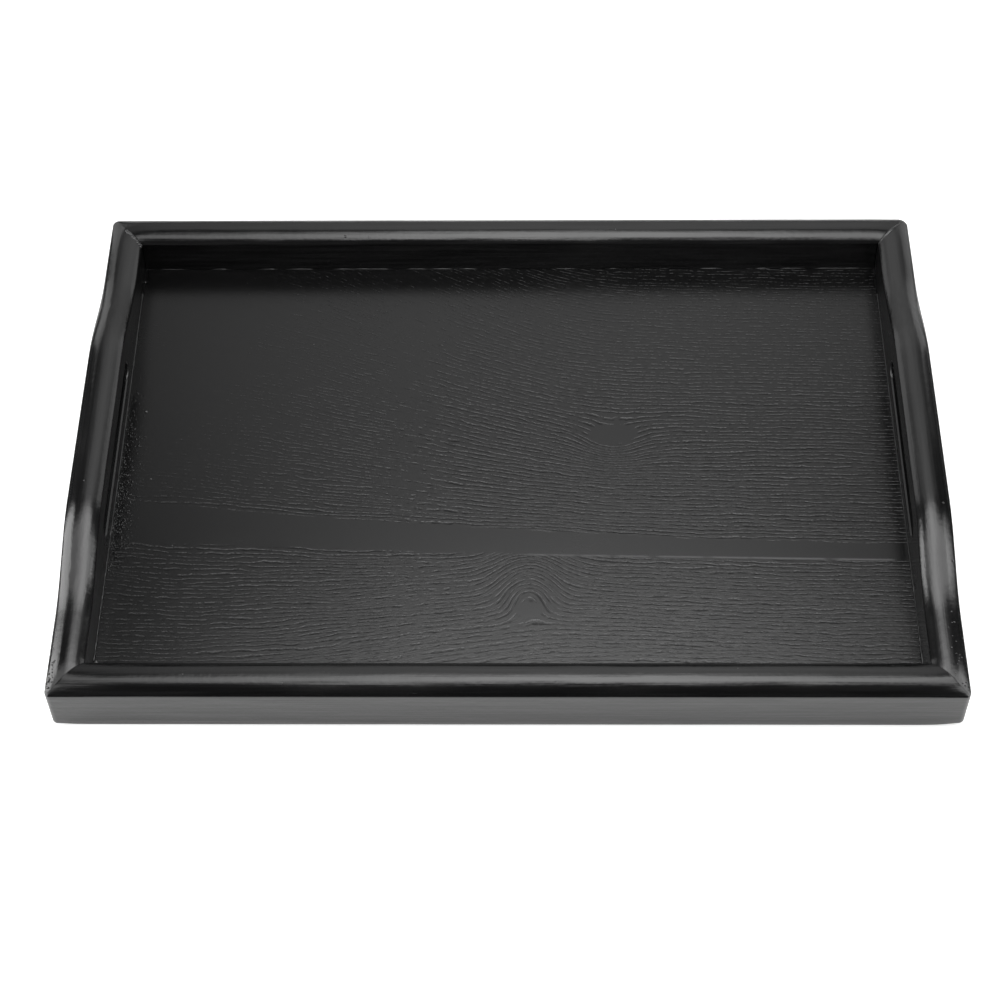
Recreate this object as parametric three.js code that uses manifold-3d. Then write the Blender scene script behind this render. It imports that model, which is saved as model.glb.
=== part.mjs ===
// Wooden serving tray: four mitred rails with rounded tops round a veneered base panel.
// The two end rails rise in an S-curve to a level grip with a hand slot cut through.
// Millimetres, +Z up. Origin: middle of the underside. +X: along the tray. -Y: the front rail.

import * as THREE from 'three';
import { mergeVertices } from 'three/addons/utils/BufferGeometryUtils.js';
import Module from 'manifold-3d';

const wasm = await Module();
wasm.setup();

// Tray outline
const TRAY_LENGTH = 400;
const TRAY_WIDTH = 270;
const CORNER_RADIUS = 2.5;

// Rail section: flat sides up to a shoulder line, then a rounded crown from shoulder to shoulder
const RAIL_THICKNESS = 15;
const SHOULDER_HEIGHT = 26;
const CROWN_RISE = 4;
const FOOT_EASE = 0.8;
const MITRE_GAP = 0.2;

// Handle rails: a level grip, with an S-curved ramp down to a low level stretch beside each mitre
const GRIP_LIFT = 10.5;
const GRIP_LENGTH = 80;
const LEVEL_END = 24;

// Hand slot: round ends, edges eased on both faces
const SLOT_LENGTH = 98;
const SLOT_HEIGHT = 11;
const SLOT_FLOOR = 14;
const SLOT_EASE = 1.2;

// Base panel: a core between two veneers, held in a groove round the rails
const CORE_THICKNESS = 2;
const FACE_VENEER = 0.6;
const BACK_VENEER = 0.6;
const GLUE_LINE = 0.05;
const PANEL_RECESS = 3.5;
const GROOVE_DEPTH = 5;
const GROOVE_PLAY = 0.2;
const PANEL_EDGE_PLAY = 0.5;

// Brads: two in each mitre, their heads set below the face under a plug of filler
const BRAD_LENGTH = 30;
const BRAD_SHANK = 1.6;
const BRAD_HEAD = 2.6;
const BRAD_HEAD_THICKNESS = 0.8;
const BRAD_POINT = 3;
const BRAD_SET = 2;
const BRAD_PLAY = 0.2;
const BRAD_ABOVE_GROOVE = 4;
const BRAD_BELOW_SHOULDER = 6;

// Smoothness of the curves
const CROWN_STEPS = 10;
const RAMP_STEPS = 16;
const SLOT_END_STEPS = 8;
const EASE_STEPS = 3;
const CORNER_STEPS = 5;
const BRAD_SIDES = 12;

// Cutting: points this close are one point, and a cutter runs this far clear of a face
const MERGE_DISTANCE = 1e-4;
const CUT_CLEAR = 1;

const QUARTER_TURN = Math.PI / 2;
const panelThickness = BACK_VENEER + CORE_THICKNESS + FACE_VENEER + 2 * GLUE_LINE;
const grooveFloor = PANEL_RECESS - GROOVE_PLAY;
const grooveTop = PANEL_RECESS + panelThickness + GROOVE_PLAY;
const rampLength = (TRAY_WIDTH - GRIP_LENGTH) / 2 - LEVEL_END - RAIL_THICKNESS;
const bradDepth = RAIL_THICKNESS / 2;
const bradOffset = TRAY_WIDTH / 2 - bradDepth;
const bradHeights = {
  lower: grooveTop + BRAD_ABOVE_GROOVE,
  upper: SHOULDER_HEIGHT - BRAD_BELOW_SHOULDER,
};

// Finishes
const blackPaint = { color: 0x0b0b0c, roughness: 0.22, metalness: 0 };
const blackVeneer = { color: 0x111112, roughness: 0.35, metalness: 0 };
const bareCore = { color: 0xb08d5f, roughness: 0.8, metalness: 0 };
const brightSteel = { color: 0xa9abad, roughness: 0.35, metalness: 1 };
const woodFiller = { color: 0x8c7454, roughness: 0.9, metalness: 0 };

/** Reads a closed geometry as a solid that can be cut. */
function toSolid(geometry) {
  const bare = geometry.clone();
  bare.deleteAttribute('normal');
  bare.deleteAttribute('uv');
  const merged = mergeVertices(bare, MERGE_DISTANCE);
  const vertProperties = new Float32Array(merged.attributes.position.array);
  const triVerts = new Uint32Array(merged.index.array);
  return new wasm.Manifold(new wasm.Mesh({ numProp: 3, vertProperties, triVerts }));
}

/** Writes a solid back as a geometry. */
function toGeometry(solid) {
  const { vertProperties, triVerts } = solid.getMesh();
  const geometry = new THREE.BufferGeometry();
  geometry.setAttribute('position', new THREE.BufferAttribute(vertProperties, 3));
  geometry.setIndex(new THREE.BufferAttribute(triVerts, 1));
  geometry.computeVertexNormals();
  return geometry;
}

/** A stock solid with a list of cutters taken out of it, as a geometry. */
function cut(stock, cutters) {
  return toGeometry(cutters.reduce((solid, cutter) => solid.subtract(toSolid(cutter)), stock));
}

/** A named mesh with a finish of its own. */
function piece(name, geometry, finish) {
  const mesh = new THREE.Mesh(geometry, new THREE.MeshStandardMaterial(finish));
  mesh.name = name;
  return mesh;
}

/** Skins rings of points that match one to one, and closes both ends by a flat outline of one ring. */
function loft(rings, outline) {
  const count = outline.length;
  const last = (rings.length - 1) * count;
  const triangles = [];
  for (let start = 0; start < last; start += count) {
    for (let point = 0; point < count; point += 1) {
      const a = start + point;
      const b = start + (point + 1) % count;
      triangles.push(a, b, b + count, a, b + count, a + count);
    }
  }
  for (const [a, b, c] of THREE.ShapeUtils.triangulateShape(outline, [])) {
    triangles.push(a, c, b, last + a, last + b, last + c);
  }
  const geometry = new THREE.BufferGeometry().setFromPoints(rings.flat());
  geometry.setIndex(triangles);
  return geometry;
}

/** A round body along +X from a half section of [radius, distance] steps. */
function turned(steps) {
  const profile = steps.map(([radius, distance]) => new THREE.Vector2(radius, distance));
  return new THREE.LatheGeometry(profile, BRAD_SIDES).rotateZ(-QUARTER_TURN);
}

// A rail is built lying along X, with its outer face at y = 0 and its inner face at the rail thickness.

/** The rail's section, anticlockwise from the outer foot, with its shoulders at a height. */
function railSection(shoulder) {
  const middle = RAIL_THICKNESS / 2;
  const radius = (middle ** 2 + CROWN_RISE ** 2) / (2 * CROWN_RISE);
  const sweep = 2 * Math.atan(CROWN_RISE / middle);
  const centre = shoulder + CROWN_RISE - radius;
  const [from, to] = [QUARTER_TURN - sweep, QUARTER_TURN + sweep];
  const crown = new THREE.EllipseCurve(middle, centre, radius, radius, from, to);
  const grooveBack = RAIL_THICKNESS - GROOVE_DEPTH;
  const lowerCorners = [
    [FOOT_EASE, 0],
    [RAIL_THICKNESS - FOOT_EASE, 0],
    [RAIL_THICKNESS, FOOT_EASE],
    [RAIL_THICKNESS, grooveFloor],
    [grooveBack, grooveFloor],
    [grooveBack, grooveTop],
    [RAIL_THICKNESS, grooveTop],
  ].map(([y, z]) => new THREE.Vector2(y, z));
  return [...lowerCorners, ...crown.getPoints(CROWN_STEPS), new THREE.Vector2(0, FOOT_EASE)];
}

/** How far a handle rail stands above the low rails, at a distance from its middle. */
function gripLift(distance) {
  const past = (Math.abs(distance) - GRIP_LENGTH / 2) / rampLength;
  const fall = THREE.MathUtils.clamp(past, 0, 1);
  return GRIP_LIFT * (1 + Math.cos(Math.PI * fall)) / 2;
}

/** The places along a handle rail where its section changes height. */
function rampStations() {
  const steps = Array.from({ length: RAMP_STEPS + 1 }, (_, step) => step / RAMP_STEPS);
  const ramp = steps.map((share) => GRIP_LENGTH / 2 + rampLength * share);
  return [...ramp.map((x) => -x).reverse(), ...ramp];
}

/** A rail's stock: its section swept from mitre to mitre, through any stations on the way. */
function railStock(length, stations, lift) {
  const mitred = (end) => (y) => end * (length / 2 - y - MITRE_GAP * Math.SQRT1_2);
  const square = (x) => () => x;
  const places = [
    { at: -length / 2, across: mitred(-1) },
    ...stations.map((x) => ({ at: x, across: square(x) })),
    { at: length / 2, across: mitred(1) },
  ];
  const rings = places.map(({ at, across }) => {
    const section = railSection(SHOULDER_HEIGHT + lift(at));
    return section.map((p) => new THREE.Vector3(across(p.x), p.x, p.y));
  });
  return toSolid(loft(rings, railSection(SHOULDER_HEIGHT)));
}

/** What the rounding takes off the sharp outer corner at one end of a rail. */
function cornerCutter(length, end) {
  const outside = end * (length / 2 + CUT_CLEAR);
  const centre = end * (length / 2 - CORNER_RADIUS);
  const endFace = end > 0 ? 0 : Math.PI;
  const outerFace = 3 * QUARTER_TURN;
  const corner = new THREE.Shape();
  corner.moveTo(outside, -CUT_CLEAR);
  corner.lineTo(outside, CORNER_RADIUS);
  corner.absarc(centre, CORNER_RADIUS, CORNER_RADIUS, endFace, outerFace, end > 0);
  corner.lineTo(centre, -CUT_CLEAR);
  const depth = SHOULDER_HEIGHT + CROWN_RISE + GRIP_LIFT + 2 * CUT_CLEAR;
  const options = { depth, bevelEnabled: false, curveSegments: CORNER_STEPS };
  return new THREE.ExtrudeGeometry(corner, options).translate(0, 0, -CUT_CLEAR);
}

/** The hand slot: a round-ended opening that flares at both faces by its eased edge. */
function slotCutter() {
  const endRadius = SLOT_HEIGHT / 2;
  const endCentre = SLOT_LENGTH / 2 - endRadius;
  const middle = SLOT_FLOOR + endRadius;
  const outline = (flare) => {
    const shape = new THREE.Shape();
    shape.absarc(endCentre, middle, endRadius + flare, -QUARTER_TURN, QUARTER_TURN);
    shape.absarc(-endCentre, middle, endRadius + flare, QUARTER_TURN, 3 * QUARTER_TURN);
    return shape.getPoints(SLOT_END_STEPS);
  };
  const mouth = [{ depth: -CUT_CLEAR, flare: SLOT_EASE }];
  for (let step = 0; step <= EASE_STEPS; step += 1) {
    const turn = QUARTER_TURN * step / EASE_STEPS;
    mouth.push({ depth: SLOT_EASE * (1 - Math.cos(turn)), flare: SLOT_EASE * (1 - Math.sin(turn)) });
  }
  const farMouth = mouth.map(({ depth, flare }) => ({ depth: RAIL_THICKNESS - depth, flare }));
  const rings = [...farMouth, ...mouth.reverse()].map(({ depth, flare }) =>
    outline(flare).map((p) => new THREE.Vector3(p.x, depth, p.y)));
  return loft(rings, outline(0));
}

/** A brad along +X, its head's outer face at x = 0. */
function brad() {
  return turned([
    [0, 0],
    [BRAD_HEAD / 2, 0],
    [BRAD_HEAD / 2, BRAD_HEAD_THICKNESS],
    [BRAD_SHANK / 2, BRAD_HEAD_THICKNESS],
    [BRAD_SHANK / 2, BRAD_LENGTH - BRAD_POINT],
    [0, BRAD_LENGTH],
  ]);
}

/** The hole that a brad and its filler make, along +X from the face at x = 0. */
function bradHole() {
  const headHole = BRAD_HEAD / 2 + BRAD_PLAY;
  const shankHole = BRAD_SHANK / 2 + BRAD_PLAY;
  const seat = BRAD_SET + BRAD_HEAD_THICKNESS + BRAD_PLAY;
  const bottom = BRAD_SET + BRAD_LENGTH + BRAD_PLAY;
  return turned([
    [0, -CUT_CLEAR],
    [headHole, -CUT_CLEAR],
    [headHole, seat],
    [shankHole, seat],
    [shankHole, bottom],
    [0, bottom],
  ]);
}

/** The plug of filler over a brad's head, along +X from the face at x = 0. */
function fillerPlug() {
  const inner = BRAD_SET - BRAD_PLAY;
  return turned([[0, 0], [BRAD_HEAD / 2, 0], [BRAD_HEAD / 2, inner], [0, inner]]);
}

/** A straight low rail, bored at both ends for the brads. */
function lowRail() {
  const cutters = [];
  for (const end of [-1, 1]) {
    cutters.push(cornerCutter(TRAY_LENGTH, end));
    for (const height of Object.values(bradHeights)) {
      const hole = end < 0 ? bradHole() : bradHole().rotateZ(Math.PI);
      cutters.push(hole.translate(end * TRAY_LENGTH / 2, bradDepth, height));
    }
  }
  return cut(railStock(TRAY_LENGTH, [], () => 0), cutters);
}

/** A handle rail with its slot, bored through the outer face at both ends. */
function handleRail() {
  const cutters = [slotCutter()];
  for (const end of [-1, 1]) {
    cutters.push(cornerCutter(TRAY_WIDTH, end));
    for (const height of Object.values(bradHeights)) {
      cutters.push(bradHole().rotateZ(QUARTER_TURN).translate(end * bradOffset, 0, height));
    }
  }
  return cut(railStock(TRAY_WIDTH, rampStations(), gripLift), cutters);
}

/** One end of the tray: a handle rail with the brads and filler that hold it, named by its corners. */
function trayEnd(side, corners) {
  const end = new THREE.Group();
  end.add(piece(`${side}_handle_rail`, handleRail(), blackPaint));
  for (const [corner, direction] of corners) {
    for (const [level, height] of Object.entries(bradHeights)) {
      const nail = piece(`${corner}_${side}_${level}_brad`, brad(), brightSteel);
      const plug = piece(`${corner}_${side}_${level}_filler`, fillerPlug(), woodFiller);
      for (const part of [nail, plug]) part.rotation.z = QUARTER_TURN;
      nail.position.set(direction * bradOffset, BRAD_SET, height);
      plug.position.set(direction * bradOffset, 0, height);
      end.add(nail, plug);
    }
  }
  return end;
}

/** One layer of the base panel, with its underside at a height. */
function panelLayer(name, thickness, underside, finish) {
  const reach = 2 * (GROOVE_DEPTH - PANEL_EDGE_PLAY - RAIL_THICKNESS);
  const sheet = new THREE.BoxGeometry(TRAY_LENGTH + reach, TRAY_WIDTH + reach, thickness);
  const layer = piece(name, sheet, finish);
  layer.position.z = underside + thickness / 2;
  return layer;
}

const tray = new THREE.Group();

const front = piece('front_rail', lowRail(), blackPaint);
front.position.y = -TRAY_WIDTH / 2;

const back = piece('back_rail', lowRail(), blackPaint);
back.position.y = TRAY_WIDTH / 2;
back.rotation.z = Math.PI;

const leftEnd = trayEnd('left', [['front', 1], ['back', -1]]);
leftEnd.position.x = -TRAY_LENGTH / 2;
leftEnd.rotation.z = -QUARTER_TURN;

const rightEnd = trayEnd('right', [['front', -1], ['back', 1]]);
rightEnd.position.x = TRAY_LENGTH / 2;
rightEnd.rotation.z = QUARTER_TURN;

const coreUnderside = PANEL_RECESS + BACK_VENEER + GLUE_LINE;
const faceUnderside = coreUnderside + CORE_THICKNESS + GLUE_LINE;
const base = new THREE.Group();
base.add(panelLayer('base_back_veneer', BACK_VENEER, PANEL_RECESS, blackVeneer));
base.add(panelLayer('base_core', CORE_THICKNESS, coreUnderside, bareCore));
base.add(panelLayer('base_face_veneer', FACE_VENEER, faceUnderside, blackVeneer));

tray.add(front, back, leftEnd, rightEnd, base);

export default tray;
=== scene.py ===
"""Black wooden serving tray: painted rails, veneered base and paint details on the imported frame.

Lengths are in millimetres until a mesh or a light is written, which is in metres.
"""

import logging
import math
from dataclasses import dataclass, field
from enum import Enum

import bmesh
import bpy
import numpy as np
from mathutils import Matrix, Vector

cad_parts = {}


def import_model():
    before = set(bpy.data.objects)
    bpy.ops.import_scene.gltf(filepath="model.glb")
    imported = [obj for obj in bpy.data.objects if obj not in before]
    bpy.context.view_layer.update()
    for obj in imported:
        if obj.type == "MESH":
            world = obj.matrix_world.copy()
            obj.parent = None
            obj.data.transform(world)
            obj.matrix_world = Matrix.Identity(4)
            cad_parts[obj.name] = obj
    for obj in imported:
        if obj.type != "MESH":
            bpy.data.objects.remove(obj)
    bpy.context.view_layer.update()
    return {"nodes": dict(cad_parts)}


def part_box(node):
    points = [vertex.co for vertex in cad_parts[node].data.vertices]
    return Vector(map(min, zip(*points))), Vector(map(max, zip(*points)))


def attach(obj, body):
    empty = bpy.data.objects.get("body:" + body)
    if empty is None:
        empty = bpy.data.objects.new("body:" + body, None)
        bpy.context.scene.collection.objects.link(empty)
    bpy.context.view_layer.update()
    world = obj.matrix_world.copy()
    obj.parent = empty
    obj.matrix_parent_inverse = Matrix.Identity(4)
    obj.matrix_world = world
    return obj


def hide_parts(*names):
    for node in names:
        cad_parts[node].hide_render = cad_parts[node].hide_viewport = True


LOG = logging.getLogger("serving_tray")
MM = 0.001
PER_METRE = 1000.0
TINY = 1e-6
BODY = "root"
SQUARE = np.array([(-1, -1, 0), (1, -1, 0), (1, 1, 0), (-1, 1, 0)])

Point = tuple[float, float, float]
Place = tuple[float, float]
Colour = tuple[float, float, float, float]
Socket = bpy.types.NodeSocket


class Value:
    """A number in a node tree that plain operators work on through math nodes."""

    def __init__(self, wiring: "Wiring", socket: Socket) -> None:
        """Keeps the socket and the tree that it is in."""
        self.wiring = wiring
        self.socket = socket

    def work(self, operation: str, *others: "Value | float") -> "Value":
        """Puts the value through a math node.

        Args:
            operation: the math node's operation.
            others: the node's other values.

        Returns:
            The node's result.
        """
        return self.wiring.value("ShaderNodeMath", dict(enumerate((self, *others))), operation=operation)

    def __add__(self, other: "Value | float") -> "Value":
        """Sum."""
        return self.work("ADD", other)

    def __sub__(self, other: "Value | float") -> "Value":
        """Difference."""
        return self.work("SUBTRACT", other)

    def __rsub__(self, other: float) -> "Value":
        """Difference from a plain number."""
        return self.work("MULTIPLY_ADD", -1.0, other)

    def __mul__(self, other: "Value | float") -> "Value":
        """Product."""
        return self.work("MULTIPLY", other)

    def __truediv__(self, other: "Value | float") -> "Value":
        """Quotient."""
        return self.work("DIVIDE", other)

    def __abs__(self) -> "Value":
        """Size without sign."""
        return self.work("ABSOLUTE")

    def step(self, low: float, high: float, first: float = 0.0, last: float = 1.0) -> "Value":
        """Smooth step between two numbers.

        Args:
            low: the value that gives first.
            high: the value that gives last.
            first: the result at low and before it.
            last: the result at high and past it.

        Returns:
            The stepped value.
        """
        inputs = {"Value": self, "From Min": low, "From Max": high, "To Min": first, "To Max": last}
        return self.wiring.value("ShaderNodeMapRange", inputs, interpolation_type="SMOOTHSTEP")


class Wiring:
    """A node tree with short calls for the nodes that repeat in it."""

    def __init__(self, tree: bpy.types.NodeTree) -> None:
        """Keeps the tree that the calls add to."""
        self.tree = tree

    def node(self, kind: str, inputs: dict | None = None, **settings: object) -> bpy.types.Node:
        """Adds a node.

        Args:
            kind: the node's type name.
            inputs: values or sockets, by the input's name or number.
            settings: the node's own properties.

        Returns:
            The new node.
        """
        node = self.tree.nodes.new(kind)
        for name, value in settings.items():
            setattr(node, name, value)
        for key, value in (inputs or {}).items():
            self.feed(node.inputs[key], value)
        return node

    def feed(self, socket: Socket, value: object) -> None:
        """Links an input to a value or socket, or sets its own number."""
        if isinstance(value, Value):
            value = value.socket
        if isinstance(value, Socket):
            self.tree.links.new(value, socket)
        else:
            socket.default_value = value

    def value(self, kind: str, inputs: dict | None = None, output: int | str = 0,
              **settings: object) -> Value:
        """Adds a node and returns one of its outputs as a value."""
        return Value(self, self.node(kind, inputs, **settings).outputs[output])

    def parts(self, vector: object) -> list[Value]:
        """The three parts of a vector."""
        node = self.node("ShaderNodeSeparateXYZ", {0: vector})
        return [Value(self, socket) for socket in node.outputs]

    def vector(self, x: object, y: object, z: object = 0.0) -> Socket:
        """A vector from its three parts."""
        return self.node("ShaderNodeCombineXYZ", {0: x, 1: y, 2: z}).outputs[0]

    def scaled(self, vector: object, factor: object) -> Socket:
        """A vector times a number."""
        return self.node("ShaderNodeVectorMath", {0: vector, "Scale": factor}, operation="SCALE").outputs[0]

    def noise(self, vector: object, scale: float = 1.0, detail: float = 1.0, seed: object = 0.0) -> Value:
        """Soft noise about one half.

        Args:
            vector: where the noise is read.
            scale: cells in one unit.
            detail: finer layers on top.
            seed: which of the noise patterns it is.

        Returns:
            The noise value.
        """
        inputs = {"Vector": vector, "W": seed, "Scale": scale, "Detail": detail}
        return self.value("ShaderNodeTexNoise", inputs, noise_dimensions="4D")

    def grain(self, x: Value, y: Value | float, along: float, across: float, detail: float = 1.0,
              seed: object = 0.0) -> Value:
        """Soft noise on a surface, with its own number of cells in one unit along x and across it."""
        return self.noise(self.vector(x * along, y * across), detail=detail, seed=seed)

    def fibres(self, vector: object, along: float, across: float, detail: float = 1.0,
               seed: float = 0.0) -> Value:
        """Soft noise in space, with its own number of cells in one unit along X and across it."""
        x, y, z = self.parts(vector)
        return self.noise(self.vector(x * along, y * across, z * across), detail=detail, seed=seed)

    def mix(self, share: object, first: object, second: object) -> Socket:
        """A colour between two colours."""
        return self.node("ShaderNodeMix", {0: share, 6: first, 7: second}, data_type="RGBA").outputs[2]

    def camera_rays(self) -> Value:
        """One for rays from the camera, also past clear panels, and zero for all others."""
        path = self.node("ShaderNodeLightPath").outputs
        return Value(self, path["Is Camera Ray"]).work("MAXIMUM", Value(self, path["Is Transmission Ray"]))


def squares(*spreads: Value) -> Value:
    """The sum of the squares of some values."""
    total = spreads[0] * spreads[0]
    for spread in spreads[1:]:
        total = total + spread * spread
    return total


def bell(*spreads: Value) -> Value:
    """A rounded hill that is one where all the spreads are zero and falls off by their squares."""
    return (squares(*spreads) * -1.0).work("EXPONENT")


def mound(x: Value, y: Value, middle: Place, size: Place) -> Value:
    """A rounded hill at a place, with its spread along x and y."""
    return bell((x - middle[0]) / size[0], (y - middle[1]) / size[1])


class ShaderEffect:
    """A shader node group that reads a place, built once and put in each material that uses it."""

    name = ""
    outputs: tuple[str, ...] = ()

    def tree(self) -> bpy.types.NodeTree:
        """The group's tree, made when it is first asked for."""
        made = bpy.data.node_groups.get(self.name)
        if made:
            return made
        tree = bpy.data.node_groups.new(self.name, "ShaderNodeTree")
        tree.interface.new_socket(name="Vector", in_out="INPUT", socket_type="NodeSocketVector")
        for name in self.outputs:
            tree.interface.new_socket(name=name, in_out="OUTPUT", socket_type="NodeSocketFloat")
        wiring = Wiring(tree)
        wiring.node("NodeGroupOutput", self.wire(wiring, wiring.node("NodeGroupInput").outputs[0]))
        return tree

    def wire(self, wiring: Wiring, vector: Socket) -> dict[str, Value]:
        """Builds the inside of the group.

        Args:
            wiring: the group's tree.
            vector: the place in metres, with X along the grain.

        Returns:
            The values for the group's outputs by name.
        """
        raise NotImplementedError

    def place(self, wiring: Wiring, vector: Socket) -> dict[str, Value]:
        """Puts the group in a material.

        Args:
            wiring: the material's tree.
            vector: the place in metres, with X along the grain.

        Returns:
            The group's outputs by name.
        """
        node = wiring.node("ShaderNodeGroup", {0: vector}, node_tree=self.tree())
        return {name: Value(wiring, node.outputs[name]) for name in self.outputs}


class PaintSkin(ShaderEffect):
    """Sprayed paint over sanded wood: fine peel, lengthwise streaks and specks of dust."""

    name = "paint_skin"
    outputs = ("Height", "Streaks", "Specks")

    def wire(self, wiring: Wiring, vector: Socket) -> dict[str, Value]:
        """Adds up streaks of three widths, the peel and the specks."""
        fine = wiring.fibres(vector, along=30.0, across=1100.0)
        broad = wiring.fibres(vector, along=14.0, across=420.0, detail=2.0, seed=1.0)
        ripple = wiring.fibres(vector, along=30.0, across=120.0, seed=3.0)
        peel = wiring.noise(vector, scale=420.0, detail=2.0)
        cells = wiring.node("ShaderNodeTexVoronoi", {"Vector": vector, "Scale": 130.0}).outputs
        chance = wiring.parts(cells["Color"])[0].step(0.86, 0.89)
        specks = Value(wiring, cells["Distance"]).step(0.055, 0.030) * chance
        height = fine * 0.25 + broad * 0.9 + peel * 0.55 + ripple * 2.2 + specks * 0.4
        return {"Height": height, "Streaks": (fine + broad).step(0.80, 1.25), "Specks": specks}


class Handling(ShaderEffect):
    """Faint marks of handling: soft smudges and fine rub lines."""

    name = "handling"
    outputs = ("Smudge", "Rub")

    def wire(self, wiring: Wiring, vector: Socket) -> dict[str, Value]:
        """Keeps the rub lines to the smudges."""
        smudge = wiring.noise(vector, scale=16.0, detail=3.0, seed=7.0).step(0.46, 0.70)
        lines = wiring.fibres(vector, along=60.0, across=1400.0, seed=11.0)
        return {"Smudge": smudge, "Rub": lines.step(0.60, 0.74) * smudge}


class VeneerFigure(ShaderEffect):
    """Flat-cut veneer under paint: pores in rows that bend round two heart figures beside a smooth band.

    Places are in millimetres from the middle of the tray. The band's middle line and half depth each have a
    constant, a slope and a bow along the grain, and the seam in front of it a constant and a slope. The rings
    give the distance between rows of pores on the right and on the left, and a seed.
    """

    name = "veneer_figure"
    outputs = ("Pores", "Pits", "Relief")
    band_line = (44.0, 0.048, -0.00009)
    band_half = (6.5, -0.017, 0.00004)
    seam_line = (50.9, 0.0165)
    seam_half = 0.46
    arch = (9.8, -80.0)
    arch_half = 11.0
    arch_flare = 0.25
    arch_height = 12.5
    knot = (49.0, 11.0)
    rings = ((2.0, 31.0), (1.35, 37.0))

    def wire(self, wiring: Wiring, vector: Socket) -> dict[str, Value]:
        """Bends the rows, finds where they are strong, and opens pores along them, with painted glints and
        painted shade.
        """
        x, y, _ = (part * PER_METRE for part in wiring.parts(vector))
        wander = wiring.grain(x, y, along=0.016, across=0.05, seed=2.0) - 0.5
        from_band = y + self.curve(x, self.band_line)
        half_band = self.curve(x, self.band_half)
        fan = x.step(60.0, -190.0, 1.0, 1.7)
        flow = from_band / fan - self.bend(x, y) + wander * 3.0
        row = flow + (wiring.grain(x, flow, along=0.03, across=0.22, seed=5.0) - 0.5) * 2.4

        edge = wander * 2.0 + (wiring.grain(x, 0.5, along=0.12, across=1.0, seed=9.0) - 0.5) * 2.4
        band = ((abs(from_band) + edge) / half_band).step(1.12, 0.94)
        vigour = self.vigour(x, y) * (1.0 - band.work("MAXIMUM", self.eyes(x, y)))

        patches = wiring.grain(x, y, along=0.03, across=0.06, detail=2.0, seed=13.0).step(0.30, 0.66)
        rim = (abs(abs(from_band) - half_band - 2.5) / 4.0).step(1.0, 0.2)
        cover = patches * 0.35 + rim * 0.4 + vigour * 0.7
        wide, close = (self.strands(wiring, x, row, period, seed) for period, seed in self.rings)
        spread = fan.step(1.15, 1.40)
        rims, pit_shade, runs = (right + (left - right) * spread for right, left in zip(wide, close))
        bits = wiring.grain(x, row, along=0.42, across=1.05, detail=2.0, seed=19.0)
        drive = bits * 0.7 + (runs - 0.5) * 0.5 + cover * 0.12
        marks = (drive + rims * 0.30).step(0.61, 0.77)
        shine = wiring.grain(x, row, along=0.9, across=1.7, seed=21.0).step(0.25, 0.65)
        fibre = wiring.grain(x, row, along=0.20, across=2.2, detail=2.0, seed=29.0)

        seam = bell((y + x * self.seam_line[1] + self.seam_line[0]) / self.seam_half)
        shown = x.step(4.0, 12.0) * x.step(30.0, 175.0, 0.6)
        broken = wiring.grain(x, 0.0, along=0.07, across=1.0, seed=23.0).step(0.36, 0.50)
        relief = (fibre - 0.5) * 1.3 - marks
        return {
            # Pale flecks in the pores and along the veneer seam: partly dust, partly painted glints off the
            # groove edges.
            "Pores": (marks * shine * vigour).work("MAXIMUM", seam * shown * broken),
            # Painted shade on the side of each groove in front of its rim.
            "Pits": (drive + pit_shade * 0.30).step(0.58, 0.76) * vigour,
            "Relief": relief * (vigour * 0.93 + 0.07),
        }

    @staticmethod
    def curve(x: Value, terms: Point) -> Value:
        """A length that changes along the grain by a constant, a slope and a bow."""
        return x * terms[1] + x * x * terms[2] + terms[0]

    def bend(self, x: Value, y: Value) -> Value:
        """How far the rows rise over the arch in front, less how far they sink under the knot behind."""
        half = (y - self.arch[1]).work("MAXIMUM", 0.0) * self.arch_flare + self.arch_half
        arch = bell((x - self.arch[0]) / half) * y.step(-92.0, -69.0) * y.step(-30.0, -58.0)
        rise = arch * self.arch_height + mound(x, y, (self.arch[0], -70.0), (48.0, 26.0)) * 2.4
        broad = mound(x, y, (self.knot[0], 8.0), (46.0, 26.0)) * 2.0
        sink = mound(x, y, self.knot, (15.0, 12.0)) * 8.0 + broad
        return rise - sink

    def eyes(self, x: Value, y: Value) -> Value:
        """One in the smooth eyes of the arch and the knot."""
        both = mound(x, y, (49.5, 16.5), (12.5, 6.5)) + mound(x, y, self.arch, (7.5, 4.2))
        return both.step(0.30, 0.55)

    @staticmethod
    def vigour(x: Value, y: Value) -> Value:
        """How strong the pores are: weaker at the back, at the far left and inside the arch."""
        plain = x.step(20.0, -150.0) * y.step(-48.0, 0.0)
        heart = mound(x, y, (12.0, -84.0), (46.0, 26.0))
        depth = y.step(100.0, -15.0, 0.46, 1.0) * x.step(-190.0, -80.0, 0.42, 1.0)
        return depth * (1.0 - plain * 0.6) * (1.0 - heart * 0.25)

    @staticmethod
    def strands(wiring: Wiring, x: Value, row: Value, period: float, seed: float) -> tuple[Value, ...]:
        """Rounded rims along growth rings, the painted shade in front of them, and what breaks both into
        runs.

        Args:
            wiring: the group's tree.
            x: the place along the grain.
            row: the place across it, bent with the figure.
            period: the distance between rings.
            seed: which of the patterns it is.

        Returns:
            The rims, the painted shade in front of them, and the noise that breaks them.
        """
        turn = row / period + seed
        ring = turn.work("FLOOR")
        stray = (wiring.grain(x, ring, along=0.12, across=2.3, detail=3.0, seed=seed) - 0.5) * 1.1
        # Rims at the middle of each ring, painted shade a little in front of them.
        rims, pit_shade = (abs(turn - ring - middle + stray).step(0.20, 0.0) for middle in (0.5, 0.2))
        return rims, pit_shade, wiring.grain(x, ring, along=0.17, across=3.7, seed=seed + 1.0)


class GrainAxis(Enum):
    """The way that the wood runs under a finish, as a turn about Z that brings it to X."""

    LENGTHWISE = 0.0
    CROSSWISE = math.pi / 2


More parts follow.
